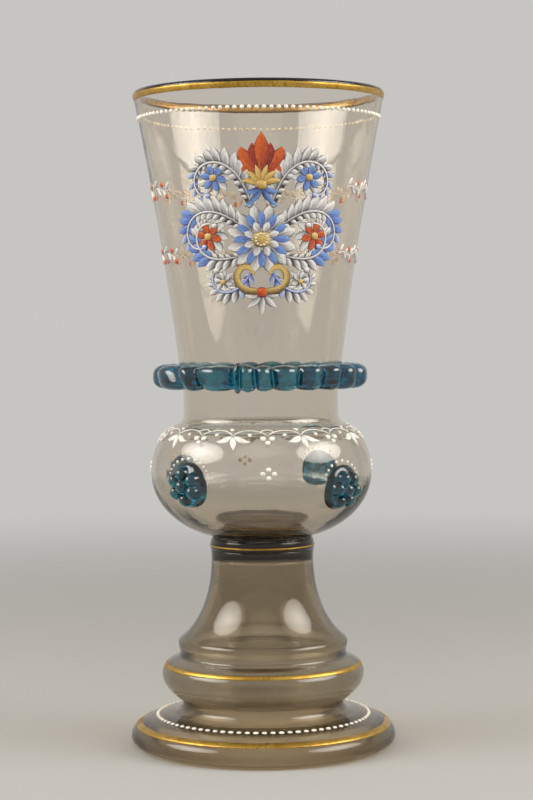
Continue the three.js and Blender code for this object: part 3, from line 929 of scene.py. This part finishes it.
diamonds = dict(
    azimuths=(4.3, 94, 190, 270), level=137.2, across=2.75, up=1.95,
    half=1.22, squash=0.92, relief=0.7,  # half width of a dot, and its height as a share of its width
)
dotArc = dict(  # over each prunt: the angle of the dots from straight up in degrees, and their half width
    dots=[(0, 0.8), (17.5, 0.78), (33, 0.72), (46, 0.62), (57, 0.5), (66, 0.4)],
    radius=13.0, waver=0.3, relief=0.6875,  # relief as a share of the half width
)


def diamondDots(size):
    dots = []
    for azimuth in size["azimuths"]:
        ground = Wall(bowlWall, size["level"], azimuth)
        for across, up in ((0, 1), (1, 0), (0, -1), (-1, 0)):
            dots.append((ground, across * size["across"], up * size["up"],
                         size["half"], size["half"] * size["squash"], size["relief"]))
    return dots


def pruntDots(size):
    dots = []
    for azimuth, drop, _ in pruntSpots.values():
        ground = Wall(bowlWall, bulbLevel - drop, azimuth)
        for angle, half in size["dots"]:
            for side in ((-1, 1) if angle else (1,)):
                way = math.radians(angle * side)
                reach = size["radius"] + size["waver"] * math.sin(3 * way + azimuth)
                dots.append((ground, reach * math.sin(way), reach * math.cos(way),
                             half, half, size["relief"] * half))
    return dots


makeDots("shoulder_dot_diamonds", diamondDots(diamonds))
makeDots("prunt_dot_arcs", pruntDots(dotArc))
print("dots done")


# Enamel: strokes of the brush
strokeShape = dict(
    top=(-1, -0.88, -0.72, -0.4, -0.14, 0, 0.14, 0.4, 0.72, 0.88, 1),  # points over a stroke, in half widths
    under=[(1, 1), (0.85, 0.4), (-0.85, -0.4), (-1, -1)],  # points under it, and whose colour each takes
    sink=0.06, flatness=2.2, bluntness=0.6, thinning=0.5,  # a stroke is lower where it is narrower
)
palette = dict(
    white=linear(236, 233, 228), grey=linear(150, 145, 152), slate=linear(78, 74, 82),
    line=linear(40, 34, 36), violet=linear(84, 100, 182), navy=linear(40, 48, 104),
    sky=linear(112, 152, 214), pale=linear(190, 202, 230), straw=linear(226, 192, 108),
    ochre=linear(168, 122, 46), brown=linear(86, 56, 20), orange=linear(214, 92, 8),
    red=linear(164, 40, 2), maroon=linear(92, 14, 4),
)


# A line that turns as it goes: headings in degrees, and first and last turning in degrees a millimetre
def curl(start, heading, length, first, last, steps=22):
    points = [start]
    for step in range(steps):
        heading += between(first, last, (step + 0.5) / steps) * length / steps
        way = math.radians(heading)
        x, y = points[-1]
        points.append((x + math.cos(way) * length / steps, y + math.sin(way) * length / steps))
    return points


def headingAt(spine, place):
    before, after = spine[max(place - 1, 0)], spine[min(place + 1, len(spine) - 1)]
    return math.degrees(math.atan2(after[1] - before[1], after[0] - before[0]))


# Widths: each gives half the width of a stroke at a share of its length
def leafWidth(half, fullest=0.4, point=0.75):  # fullest at that share, and slimmer ends for a higher point
    power = math.log(0.5) / math.log(fullest)
    return lambda share: half * max(math.sin(math.pi * min(max(share, 0.004), 0.996) ** power), 0.04) ** point


def lineWidth(half, end=0.3):  # thins towards its end
    return lambda share: half * between(1, end, share) * min(1, 6 * share + 0.35, 6 * (1 - share) + 0.3)


def cordWidth(half):  # even all along, with blunt ends
    return lambda share: half * min(1, 5 * share + 0.5, 5 * (1 - share) + 0.5)


def dotWidth(half):  # round
    return lambda share: half * max(math.sin(math.acos(0.97 * (1 - 2 * share))), 0.1)


# Paints: each gives the colour of a stroke at a share of its length and of its half width
def shaded(light, dark, line="line", edge=0.9, vein=0.0):  # lit from one side and at the tip, with an outline
    def paint(share, side):
        tone = between(palette[dark], palette[light], ease(-0.75, 0.75, 0.75 * side + 1.3 * share - 0.45))
        tone = between(tone, palette[line], vein * (1 - ease(0, 0.2, abs(side))) * (1 - share))
        return between(tone, palette[line], edge * ease(0.72, 0.98, abs(side)))
    return paint


def plain(name):
    return lambda share, side: palette[name]


def strokeSection(size, crown, base):  # side, side whose colour it takes and height of each point round it
    section = [(side, side, base + crown * (1 - abs(side) ** size["flatness"]) ** size["bluntness"])
               for side in size["top"]]
    return section + [(side, tone, -size["sink"]) for side, tone in size["under"]]


class Strokes:  # closed raised strokes on a wall, all in one mesh
    def __init__(self, ground):
        self.ground, self.points, self.faces, self.paints, self.brushes = ground, [], [], [], []

    # Mirror adds the same stroke on the other side, and base lifts the edges of both off the wall
    def add(self, spine, width, lift, paint, mirror=False, base=0.0):
        for way in (1, -1) if mirror else (1,):
            self.addOne([(way * x, y) for x, y in spine], width, lift, paint, way, base)

    def addOne(self, spine, width, lift, paint, way, base):
        steps, first = len(spine) - 1, len(self.points)
        widest = max(width(step / steps) for step in range(steps + 1))
        run = 7.3 * len(self.faces) % 500  # the hairs of the brush lie differently in every stroke
        for place, (x, y) in enumerate(spine):
            share = place / steps
            turn, half = math.radians(headingAt(spine, place)), width(share)
            run += math.dist(spine[place - 1], (x, y)) if place else 0
            section = strokeSection(strokeShape, lift * (half / widest) ** strokeShape["thinning"], base)
            for side, tone, height in section:
                across, up = x - math.sin(turn) * half * side, y + math.cos(turn) * half * side
                self.points.append(self.ground.lay(across, up, height))
                self.paints.append(paint(share, tone * way))
                self.brushes.append((run, half * side, 0))
        self.cover(first, steps, len(section))

    def cover(self, first, steps, count):  # the faces of a stroke and of its two ends
        for step in range(steps):
            here, after = first + step * count, first + (step + 1) * count
            for spot in range(count):
                beside = (spot + 1) % count
                self.faces.append([here + spot, after + spot, after + beside, here + beside])
        last = first + steps * count
        self.faces.append([first + spot for spot in range(count)])
        self.faces.append([last + spot for spot in reversed(range(count))])

    def dot(self, x, y, half, lift, paint, mirror=False, base=0.0):
        spine = [(x - half * 0.98 * math.cos(math.pi * step / 8), y) for step in range(9)]
        self.add(spine, dotWidth(half), lift, paint, mirror, base)

    def mesh(self, name):
        mesh = bpy.data.meshes.new(name)
        mesh.from_pydata([Vector(point) * mm for point in self.points], [], self.faces)
        layer = mesh.attributes.new("paint", "FLOAT_COLOR", "POINT")
        layer.data.foreach_set("color", [part for paint in self.paints for part in (*paint, 1.0)])
        layer = mesh.attributes.new("brush", "FLOAT_VECTOR", "POINT")
        layer.data.foreach_set("vector", [part for brush in self.brushes for part in brush])
        return mesh


# Enamel: what repeats round the glass
def ringTree():
    nodes, given = newTree("round_the_glass", {
        "Count": "Int", "Start": "Float", "Step": "Float", "Material": "Material",
    })
    spots = nodes.add("GeometryNodeMeshLine", {}, {"Count": given["Count"], "Offset": (0, 0, 0)})
    turn = given["Start"] + given["Step"] * nodes.add("GeometryNodeInputIndex")
    ring = nodes.add("GeometryNodeInstanceOnPoints", {}, {
        "Points": spots, "Instance": given["Geometry"],
        "Rotation": nodes.add("ShaderNodeCombineXYZ", {}, {"Z": turn}),
    })
    endTree(nodes, given, ring)
    return nodes.tree


ringMaker = ringTree()


def makeRing(name, motif, count, start, step, material, slot):
    mesh = grow(ringMaker, motif, {
        "Count": count, "Start": math.radians(start), "Step": math.radians(step), "Material": material,
    })
    finishPiece(name, mesh, material, slot)


festoon = dict(
    level=154.6, start=4.3, pairs=9, line=0.27, lineLift=0.28, arch=3.7, archFlatness=2.4,
    smallArch=2.0, smallReach=3.6, smallFlatness=2, crossing=0.62,  # how far up the others it starts
    archDot=(0.5, 0.88, 0.55), leafDot=(0.6, 0.95, 0.55),  # rise, half width and lift
    berries=[(-2.15, -1.7, 1.3), (2.15, -1.7, 1.3), (0, -4.1, 1.15)], berryLift=0.75,
    leaves=[  # line as curl takes it, width as leafWidth takes it, lift and sides
        (((0, -0.6), -90, 7.4, 0, 0), (1.5, 0.46, 1.1), 0.7, (1,)),
        (((0.5, -0.2), -38, 9.2, -1, 12.5), (1.5, 0.42, 1.25), 0.65, (-1, 1)),
    ],
)


def archSpine(left, right, low, rise, flatness, steps=16):
    return [(between(left, right, step / steps), low + rise * (1 - abs(2 * step / steps - 1) ** flatness))
            for step in range(steps + 1)]


def festoonMotif(size):  # a node with berries at 0 and a node with leaves one step to its left
    ground = Wall(bowlWall, size["level"], true=True)
    strokes, white, cord = Strokes(ground), plain("white"), cordWidth(size["line"])
    pitch = ground.at(0)[0] * math.radians(180 / size["pairs"])
    for left in (-pitch, 0):
        arch = archSpine(left, left + pitch, 0, size["arch"], size["archFlatness"])
        strokes.add(arch, cord, size["lineLift"], white)
        strokes.dot(left + pitch / 2, *size["archDot"], white)
    low, reach = size["arch"] * size["crossing"], size["smallReach"]
    arch = archSpine(-reach, reach, low, size["smallArch"], size["smallFlatness"], 12)
    strokes.add(arch, cord, size["lineLift"], white)
    for x, y, half in size["berries"]:
        strokes.dot(x, y, half, size["berryLift"], white)
    rise, half, lift = size["leafDot"]
    strokes.dot(-pitch, size["arch"] + rise, half, lift, white)
    for line, width, lift, ways in size["leaves"]:
        for way in ways:
            spine = [(way * x - pitch, y) for x, y in curl(*line)]
            strokes.add(spine, leafWidth(*width), lift, white)
    return strokes.mesh("festoon")


makeRing("shoulder_festoon", festoonMotif(festoon), festoon["pairs"], festoon["start"],
         360 / festoon["pairs"], whiteEnamel, "white_enamel")

leafRows = dict(  # the two rows of sprays round the back
    upper_leaf_row=dict(level=271.5, count=14, start=62, step=18.1, span=16.2, height=4.7),
    lower_leaf_row=dict(level=240.5, count=14, start=62, step=18.1, span=14.6, height=4.2),
)
# A spray of leaves and berries: the step of the stem at which each stands and its side. Lengths are shares
# of the row's height.
spray = dict(
    steps=24, sway=0.8, stem=0.26, stemLift=0.25,
    leaves=[(2, 1), (6, -1), (10, 1), (15, -1), (20, 1)],
    leafAngle=46, leafTurns=(3, -9), leafLength=1.1, leafHalf=1.15, leafLift=0.42,
    stalks=[(12, 1), (18, -1)], stalkAngle=74, stalkTurns=(0, -8), stalkLength=0.62, stalk=0.22,
    berry=1.25, berryLift=0.6,
)


def sprayMotif(size, level, span, height):
    strokes = Strokes(Wall(bowlWall, level, true=True))
    stem = []
    for step in range(size["steps"] + 1):
        share = step / size["steps"]
        stem.append((span * (share - 0.5), size["sway"] * math.sin(2 * math.pi * share)))
    strokes.add(stem, lambda share: size["stem"], size["stemLift"], plain("white"))

    def branch(place, way, angle, turns, length, steps):
        turning = [turn * way for turn in turns]
        return curl(stem[place], headingAt(stem, place) + angle * way, height * length, *turning, steps)

    for place, way in size["leaves"]:
        leaf = branch(place, way, size["leafAngle"], size["leafTurns"], size["leafLength"], 12)
        strokes.add(leaf, leafWidth(size["leafHalf"], 0.5), size["leafLift"],
                    shaded("white", "grey", "white", 0))
    for place, way in size["stalks"]:
        stalk = branch(place, way, size["stalkAngle"], size["stalkTurns"], size["stalkLength"], 8)
        strokes.add(stalk, lambda share: size["stalk"], size["stalk"], plain("white"))
        strokes.dot(*stalk[-1], size["berry"], size["berryLift"], shaded("orange", "red", "red", 0.5))
    return strokes.mesh("spray")


for name, row in leafRows.items():
    motif = sprayMotif(spray, row["level"], row["span"], row["height"])
    makeRing(name, motif, row["count"], row["start"], row["step"], paintedEnamel, "painted_enamel")
print("festoon and leaf rows done")


# Enamel: the ornament on the front, in millimetres from its middle
ornament = dict(
    azimuth=2.0, level=254.6,
    tendrils=[  # as curl takes them
        ((8, 18), 60, 20, 0, -14), ((22, -4), 20, 17, 6, 20), ((16, -30), -10, 16, 4, 18),
    ],
    tendril=0.32, tendrilEnd=0.75,  # half width, and that of the dot at its end
    flowers=[  # middle, reach of the petals, their tones, and reach of the leaves
        ((23, 21), 6.6, "sky", "violet", 9.2), ((26, -6.5), 7.0, "orange", "red", 10.5),
        ((18.5, -28), 4.9, "white", "slate", 6.4),
    ],
    rosette=(0, -8), blossom=(0, 17.5), clasp=(0, -33),
)
plumes = [  # turns: turning at the start and the end, outer: the fuller side, tones: from root to tip
    dict(start=(4, 6), heading=68, length=57, turns=(0.7, -9.4), width=10.5, lobes=15, outer=1,
         tones=[("white", "slate"), ("white", "grey"), ("white", "slate"), ("pale", "violet")]),
    dict(start=(9, -2), heading=34, length=50, turns=(0.1, -9.6), width=11.5, lobes=14, outer=1,
         tones=[("white", "slate"), ("white", "grey"), ("sky", "violet"), ("pale", "violet")]),
    dict(start=(10, -16), heading=-14, length=42, turns=(0.2, 10.6), width=9.5, lobes=12, outer=-1,
         tones=[("white", "slate"), ("sky", "violet"), ("white", "grey")]),
    dict(start=(5, -24), heading=-58, length=31, turns=(0.6, 12.5), width=8.0, lobes=10, outer=-1,
         tones=[("pale", "violet"), ("white", "slate"), ("white", "grey")]),
]
plumeShape = dict(
    back=0.24, cord=0.75, tip=1.3,  # half widths, that of the back as a share of the plume's width
    places=(0.02, 0.93), bases=(0.5, 0.1),  # of the first lobe and the last: share of the length, and base
    inner=(0.5, 0.305), outer=(1, 0.25),  # lobes on either side: share of the width, and slimness
    angle=44, turns=(-4.5, 10.5),
)
rosette = dict(
    petals=[  # number, from and to which radius, half width, tones, turn in degrees, base
        (12, 6.0, 16.4, 2.8, "white", "slate", 15, 0.5), (12, 5.0, 13.2, 2.1, "sky", "violet", 0, 0.62),
        (8, 2.5, 8.6, 1.9, "white", "grey", 22.5, 0.75),
    ],
    heart=3.9, pearls=11, pearlReach=2.7, pearl=0.48,
)
blossom = dict(
    petals=[  # angle from straight up, length, half width, tones, base
        (70, 13, 2.7, "orange", "maroon", 0.3), (42, 17, 3.3, "orange", "red", 0.4),
        (0, 20, 3.6, "orange", "red", 0.6), (21, 16, 2.5, "red", "maroon", 0.5),
    ],
    petalRise=4, cup=(-66, 66, -40, 40, -14, 14), cupLength=9.5, heart=2.3,
    leafDrop=1.5, leaves=[(-62, 9), (62, 9), (-30, 12), (30, 12)],  # angle from straight down, length
)
flowerShape = dict(leaves=9, leafTurn=8, leafHalf=0.2, petals=6, petalTurn=12, petalHalf=0.27, heart=0.26)
clasp = dict(
    arm=29, armTurns=(1.5, 17.5), armHalf=2.3, heart=2.4,
    leaves=[(-66, 8), (66, 8), (-34, 10), (34, 10), (0, 11)],  # angle from straight down, length
)
golden = shaded("straw", "ochre", "brown")


def addPlume(strokes, shape, start, heading, length, turns, width, lobes, outer, tones):
    spine = curl(start, heading, length, *turns, 56)
    strokes.add(spine, leafWidth(width * shape["back"], 0.3, 0.6), 0.2, shaded("grey", "slate"), mirror=True)
    for number in range(lobes):
        share = number / (lobes - 1)
        place = round(between(*shape["places"], share) * (len(spine) - 1))
        light, dark = tones[min(int(share * len(tones)), len(tones) - 1)]
        swell = between(0.62, 1, math.sin(math.pi * min(share * 1.2, 1))) * (1 - 0.25 * share)
        for side, (part, slimness) in ((-outer, shape["inner"]), (outer, shape["outer"])):
            size = width * part * swell
            turning = [turn * side for turn in shape["turns"]]
            lobe = curl(spine[place], headingAt(spine, place) + shape["angle"] * side, size, *turning, 12)
            strokes.add(lobe, leafWidth(size * slimness, 0.52, 0.8), 0.3,
                        shaded(light, dark, vein=0.85), mirror=True, base=between(*shape["bases"], share))
    strokes.add(spine, lineWidth(shape["cord"], 0.6), 0.3, shaded(*tones[0]), mirror=True, base=0.55)
    strokes.dot(*spine[-1], shape["tip"], 0.5, shaded(*tones[-1]), mirror=True, base=0.4)


def addTendril(strokes, size, line):
    spine = curl(*line, 26)
    strokes.add(spine, lineWidth(size["tendril"], 0.6), 0.3, plain("straw"), mirror=True)
    strokes.dot(*spine[-1], size["tendrilEnd"], 0.5, plain("straw"), mirror=True)


def addRosette(strokes, shape, x, y):
    for count, inner, outer, half, light, dark, turn, base in shape["petals"]:
        for petal in range(count):
            way = turn + 360 * petal / count
            reach = math.radians(way)
            start = (x + inner * math.cos(reach), y + inner * math.sin(reach))
            strokes.add(curl(start, way, outer - inner, 0, 0, 14), leafWidth(half, 0.6), 0.35,
                        shaded(light, dark, vein=0.7), base=base)
    strokes.dot(x, y, shape["heart"], 0.6, golden, base=0.9)
    for pearl in range(shape["pearls"]):
        way = 2 * math.pi * pearl / shape["pearls"]
        strokes.dot(x + shape["pearlReach"] * math.cos(way), y + shape["pearlReach"] * math.sin(way),
                    shape["pearl"], 0.4, plain("white"), base=1.3)


def addBlossom(strokes, shape, x, y):
    for angle, length, half, light, dark, base in shape["petals"]:
        for way in ((1, -1) if angle else (1,)):
            turns = (-1.4 * way, 4.5 * way) if angle else (0, 0)
            petal = curl((x, y + shape["petalRise"]), 90 - angle * way, length, *turns, 16)
            strokes.add(petal, leafWidth(half, 0.6), 0.35, shaded(light, dark, "maroon", vein=0.8), base=base)
    for angle in shape["cup"]:
        leaf = curl((x, y), 90 - angle, shape["cupLength"], 0, -angle * 0.12, 12)
        strokes.add(leaf, leafWidth(1.6, 0.45), 0.35, golden, base=0.8)
    strokes.dot(x, y, shape["heart"], 0.5, golden, base=1.0)
    for angle, length in shape["leaves"]:
        leaf = curl((x, y - shape["leafDrop"]), -90 + angle, length, 0, angle * 0.18, 12)
        strokes.add(leaf, leafWidth(1.6, 0.4), 0.35, shaded("sky", "navy"), base=0.6)


def addFlower(strokes, shape, middle, reach, light, dark, leafReach):  # on either side, leaves behind it
    for leaf in range(shape["leaves"]):
        way = 360 * leaf / shape["leaves"] + shape["leafTurn"]
        spine, width = curl(middle, way, leafReach, 2, 6, 12), leafWidth(leafReach * shape["leafHalf"], 0.6)
        strokes.add(spine, width, 0.25, shaded("white", "slate", vein=0.85), mirror=True)
    for petal in range(shape["petals"]):
        way = 360 * petal / shape["petals"] + shape["petalTurn"]
        spine, width = curl(middle, way, reach, 0, 0, 10), leafWidth(reach * shape["petalHalf"], 0.62)
        strokes.add(spine, width, 0.3, shaded(light, dark, vein=0.8), mirror=True, base=0.3)
    strokes.dot(*middle, reach * shape["heart"], 0.4, golden, mirror=True, base=0.5)


def addClasp(strokes, shape, middle):
    arm = curl(middle, -4, shape["arm"], *shape["armTurns"], 40)
    strokes.add(arm, lineWidth(shape["armHalf"], 0.5), 0.5, shaded("straw", "brown", "brown"),
                mirror=True, base=0.5)
    for angle, length in shape["leaves"]:
        leaf = curl(middle, -90 + angle, length, 0, angle * 0.16, 14)
        strokes.add(leaf, leafWidth(1.7, 0.5), 0.3, shaded("white", "slate", vein=0.7), base=0.6)
    strokes.dot(*middle, shape["heart"], 0.5, shaded("orange", "red", "maroon"), base=0.9)


def makeOrnament(size):
    strokes = Strokes(Wall(bowlWall, size["level"], size["azimuth"]))
    for line in size["tendrils"]:
        addTendril(strokes, size, line)
    for plume in plumes:
        addPlume(strokes, plumeShape, **plume)
    for flower in size["flowers"]:
        addFlower(strokes, flowerShape, *flower)
    addRosette(strokes, rosette, *size["rosette"])
    addBlossom(strokes, blossom, *size["blossom"])
    addClasp(strokes, clasp, size["clasp"])
    finishPiece("front_ornament", strokes.mesh("front_ornament"), paintedEnamel, "painted_enamel")


makeOrnament(ornament)
print("ornament done")


# Stage, light and camera
stage = dict(
    floor=linear(172, 170, 166), floorRadius=3.4, fadeStart=0.3, fadeEnd=1.3,
    background=linear(199, 197, 194), fill=0.42, fillColour=(1, 0.985, 0.96),
    boxDistance=1.15, boxAzimuth=74, boxRise=31, boxAim=0.17, boxWidth=1.14, boxHeight=0.74, boxPower=11.5,
    boxColour=(1.0, 0.975, 0.93), boxMiddle=1.7, boxEdge=0.55,  # a softbox is brightest in the middle
    frontRise=48, frontPower=4.2,
)
view = dict(  # fitted to six rings of the glass, in metres, degrees and millimetres of lens
    place=(0.01352, -1.0052, 0.2093), pitch=2.258, turn=0.613, roll=-0.494, lens=92.17, sensor=36,
)


def makeFloor(stage):
    material, nodes = newMaterial("studio_floor", stage["floor"])
    place = nodes.add("ShaderNodeTexCoord", output="Object")
    far = nodes.add("ShaderNodeVectorMath", {"operation": "LENGTH"}, {0: place}, "Value")
    matt = nodes.add("ShaderNodeBsdfDiffuse", {}, {"Color": (*stage["floor"], 1)})
    gone = nodes.add("ShaderNodeBsdfTransparent")
    fade = nodes.add("ShaderNodeMapRange", {"interpolation_type": "SMOOTHSTEP"}, {
        "Value": far, "From Min": stage["fadeStart"], "From Max": stage["fadeEnd"],
    })
    surface = nodes.add("ShaderNodeMixShader", {}, {0: fade, 1: matt, 2: gone})
    nodes.add("ShaderNodeOutputMaterial", {}, {"Surface": surface})
    points, faces = revolved([(0, 0), (stage["floorRadius"], 0)], 64)
    mesh = bpy.data.meshes.new("studio_floor")
    mesh.from_pydata(points, [], [face[::-1] for face in faces])
    mesh.materials.append(material)
    floor = bpy.data.objects.new("studio_floor", mesh)
    bpy.context.scene.collection.objects.link(floor)


def makeWorld(stage):
    world = bpy.data.worlds.new("studio")
    bpy.context.scene.world = world
    world.use_nodes = True
    nodes = Nodes(world.node_tree)
    path = nodes.add("ShaderNodeLightPath").socket.node
    labels = ("Is Camera Ray", "Is Glossy Ray", "Is Transmission Ray")
    camera, glossy, through = (Wire(nodes, path.outputs[label]) for label in labels)
    fill = nodes.add("ShaderNodeBackground", {}, {
        "Color": (*stage["fillColour"], 1), "Strength": stage["fill"],
    })
    seen = nodes.add("ShaderNodeBackground", {}, {"Color": (*stage["background"], 1), "Strength": 1.0})
    visible = camera.atLeast(glossy).atLeast(through)
    shown = nodes.add("ShaderNodeMixShader", {}, {0: visible, 1: fill, 2: seen})
    nodes.add("ShaderNodeOutputWorld", {}, {"Surface": shown})


def makeSoftbox(name, azimuth, rise, power, stage, glint=True):
    light = bpy.data.lights.new(name, "AREA")
    light.shape = "ELLIPSE"
    light.size, light.size_y = stage["boxWidth"], stage["boxHeight"]
    light.energy = power
    light.color = stage["boxColour"]
    light.use_nodes = True
    nodes = Nodes(light.node_tree)
    spot = nodes.add("ShaderNodeNewGeometry", output="Parametric")
    offset = nodes.add("ShaderNodeVectorMath", {"operation": "SUBTRACT"}, {0: spot, 1: (0.5, 0.5, 0)})
    far = nodes.add("ShaderNodeVectorMath", {"operation": "LENGTH"}, {0: offset}, "Value")
    shine = nodes.spread(far, 0.0, 0.5, stage["boxMiddle"], stage["boxEdge"])
    glow = nodes.add("ShaderNodeEmission", {}, {"Strength": shine})
    nodes.add("ShaderNodeOutputLight", {}, {"Surface": glow})
    lamp = bpy.data.objects.new(name, light)
    turn, tilt = math.radians(azimuth), math.radians(rise)
    away = Vector((math.sin(turn) * math.cos(tilt), -math.cos(turn) * math.cos(tilt), math.sin(tilt)))
    lamp.location = away * stage["boxDistance"] + Vector((0, 0, stage["boxAim"]))
    lamp.rotation_euler = away.to_track_quat("Z", "Y").to_euler()
    lamp.visible_camera, lamp.visible_glossy = False, glint
    bpy.context.scene.collection.objects.link(lamp)


def makeCamera(view):
    data = bpy.data.cameras.new("view")
    data.sensor_fit = "VERTICAL"
    data.sensor_height = view["sensor"]
    data.lens = view["lens"]
    data.clip_start, data.clip_end = 0.05, 30
    camera = bpy.data.objects.new("view", data)
    turn = Matrix.Rotation(math.radians(view["turn"]), 4, "Z")
    pitch = Matrix.Rotation(math.radians(90 - view["pitch"]), 4, "X")
    roll = Matrix.Rotation(math.radians(view["roll"]), 4, "Z")
    camera.matrix_world = Matrix.Translation(view["place"]) @ turn @ pitch @ roll
    bpy.context.scene.collection.objects.link(camera)
    bpy.context.scene.camera = camera


makeFloor(stage)
makeWorld(stage)
makeSoftbox("softbox_left", -stage["boxAzimuth"], stage["boxRise"], stage["boxPower"], stage)
makeSoftbox("softbox_right", stage["boxAzimuth"], stage["boxRise"], stage["boxPower"], stage)
makeSoftbox("softbox_front", 0, stage["frontRise"], stage["frontPower"], stage, glint=False)
makeCamera(view)
scene = bpy.context.scene
scene.view_settings.view_transform = "Standard"
scene.cycles.max_bounces = 28
scene.cycles.transmission_bounces = 28
scene.cycles.glossy_bounces = 10
scene.cycles.transparent_max_bounces = 24
print("studio done")
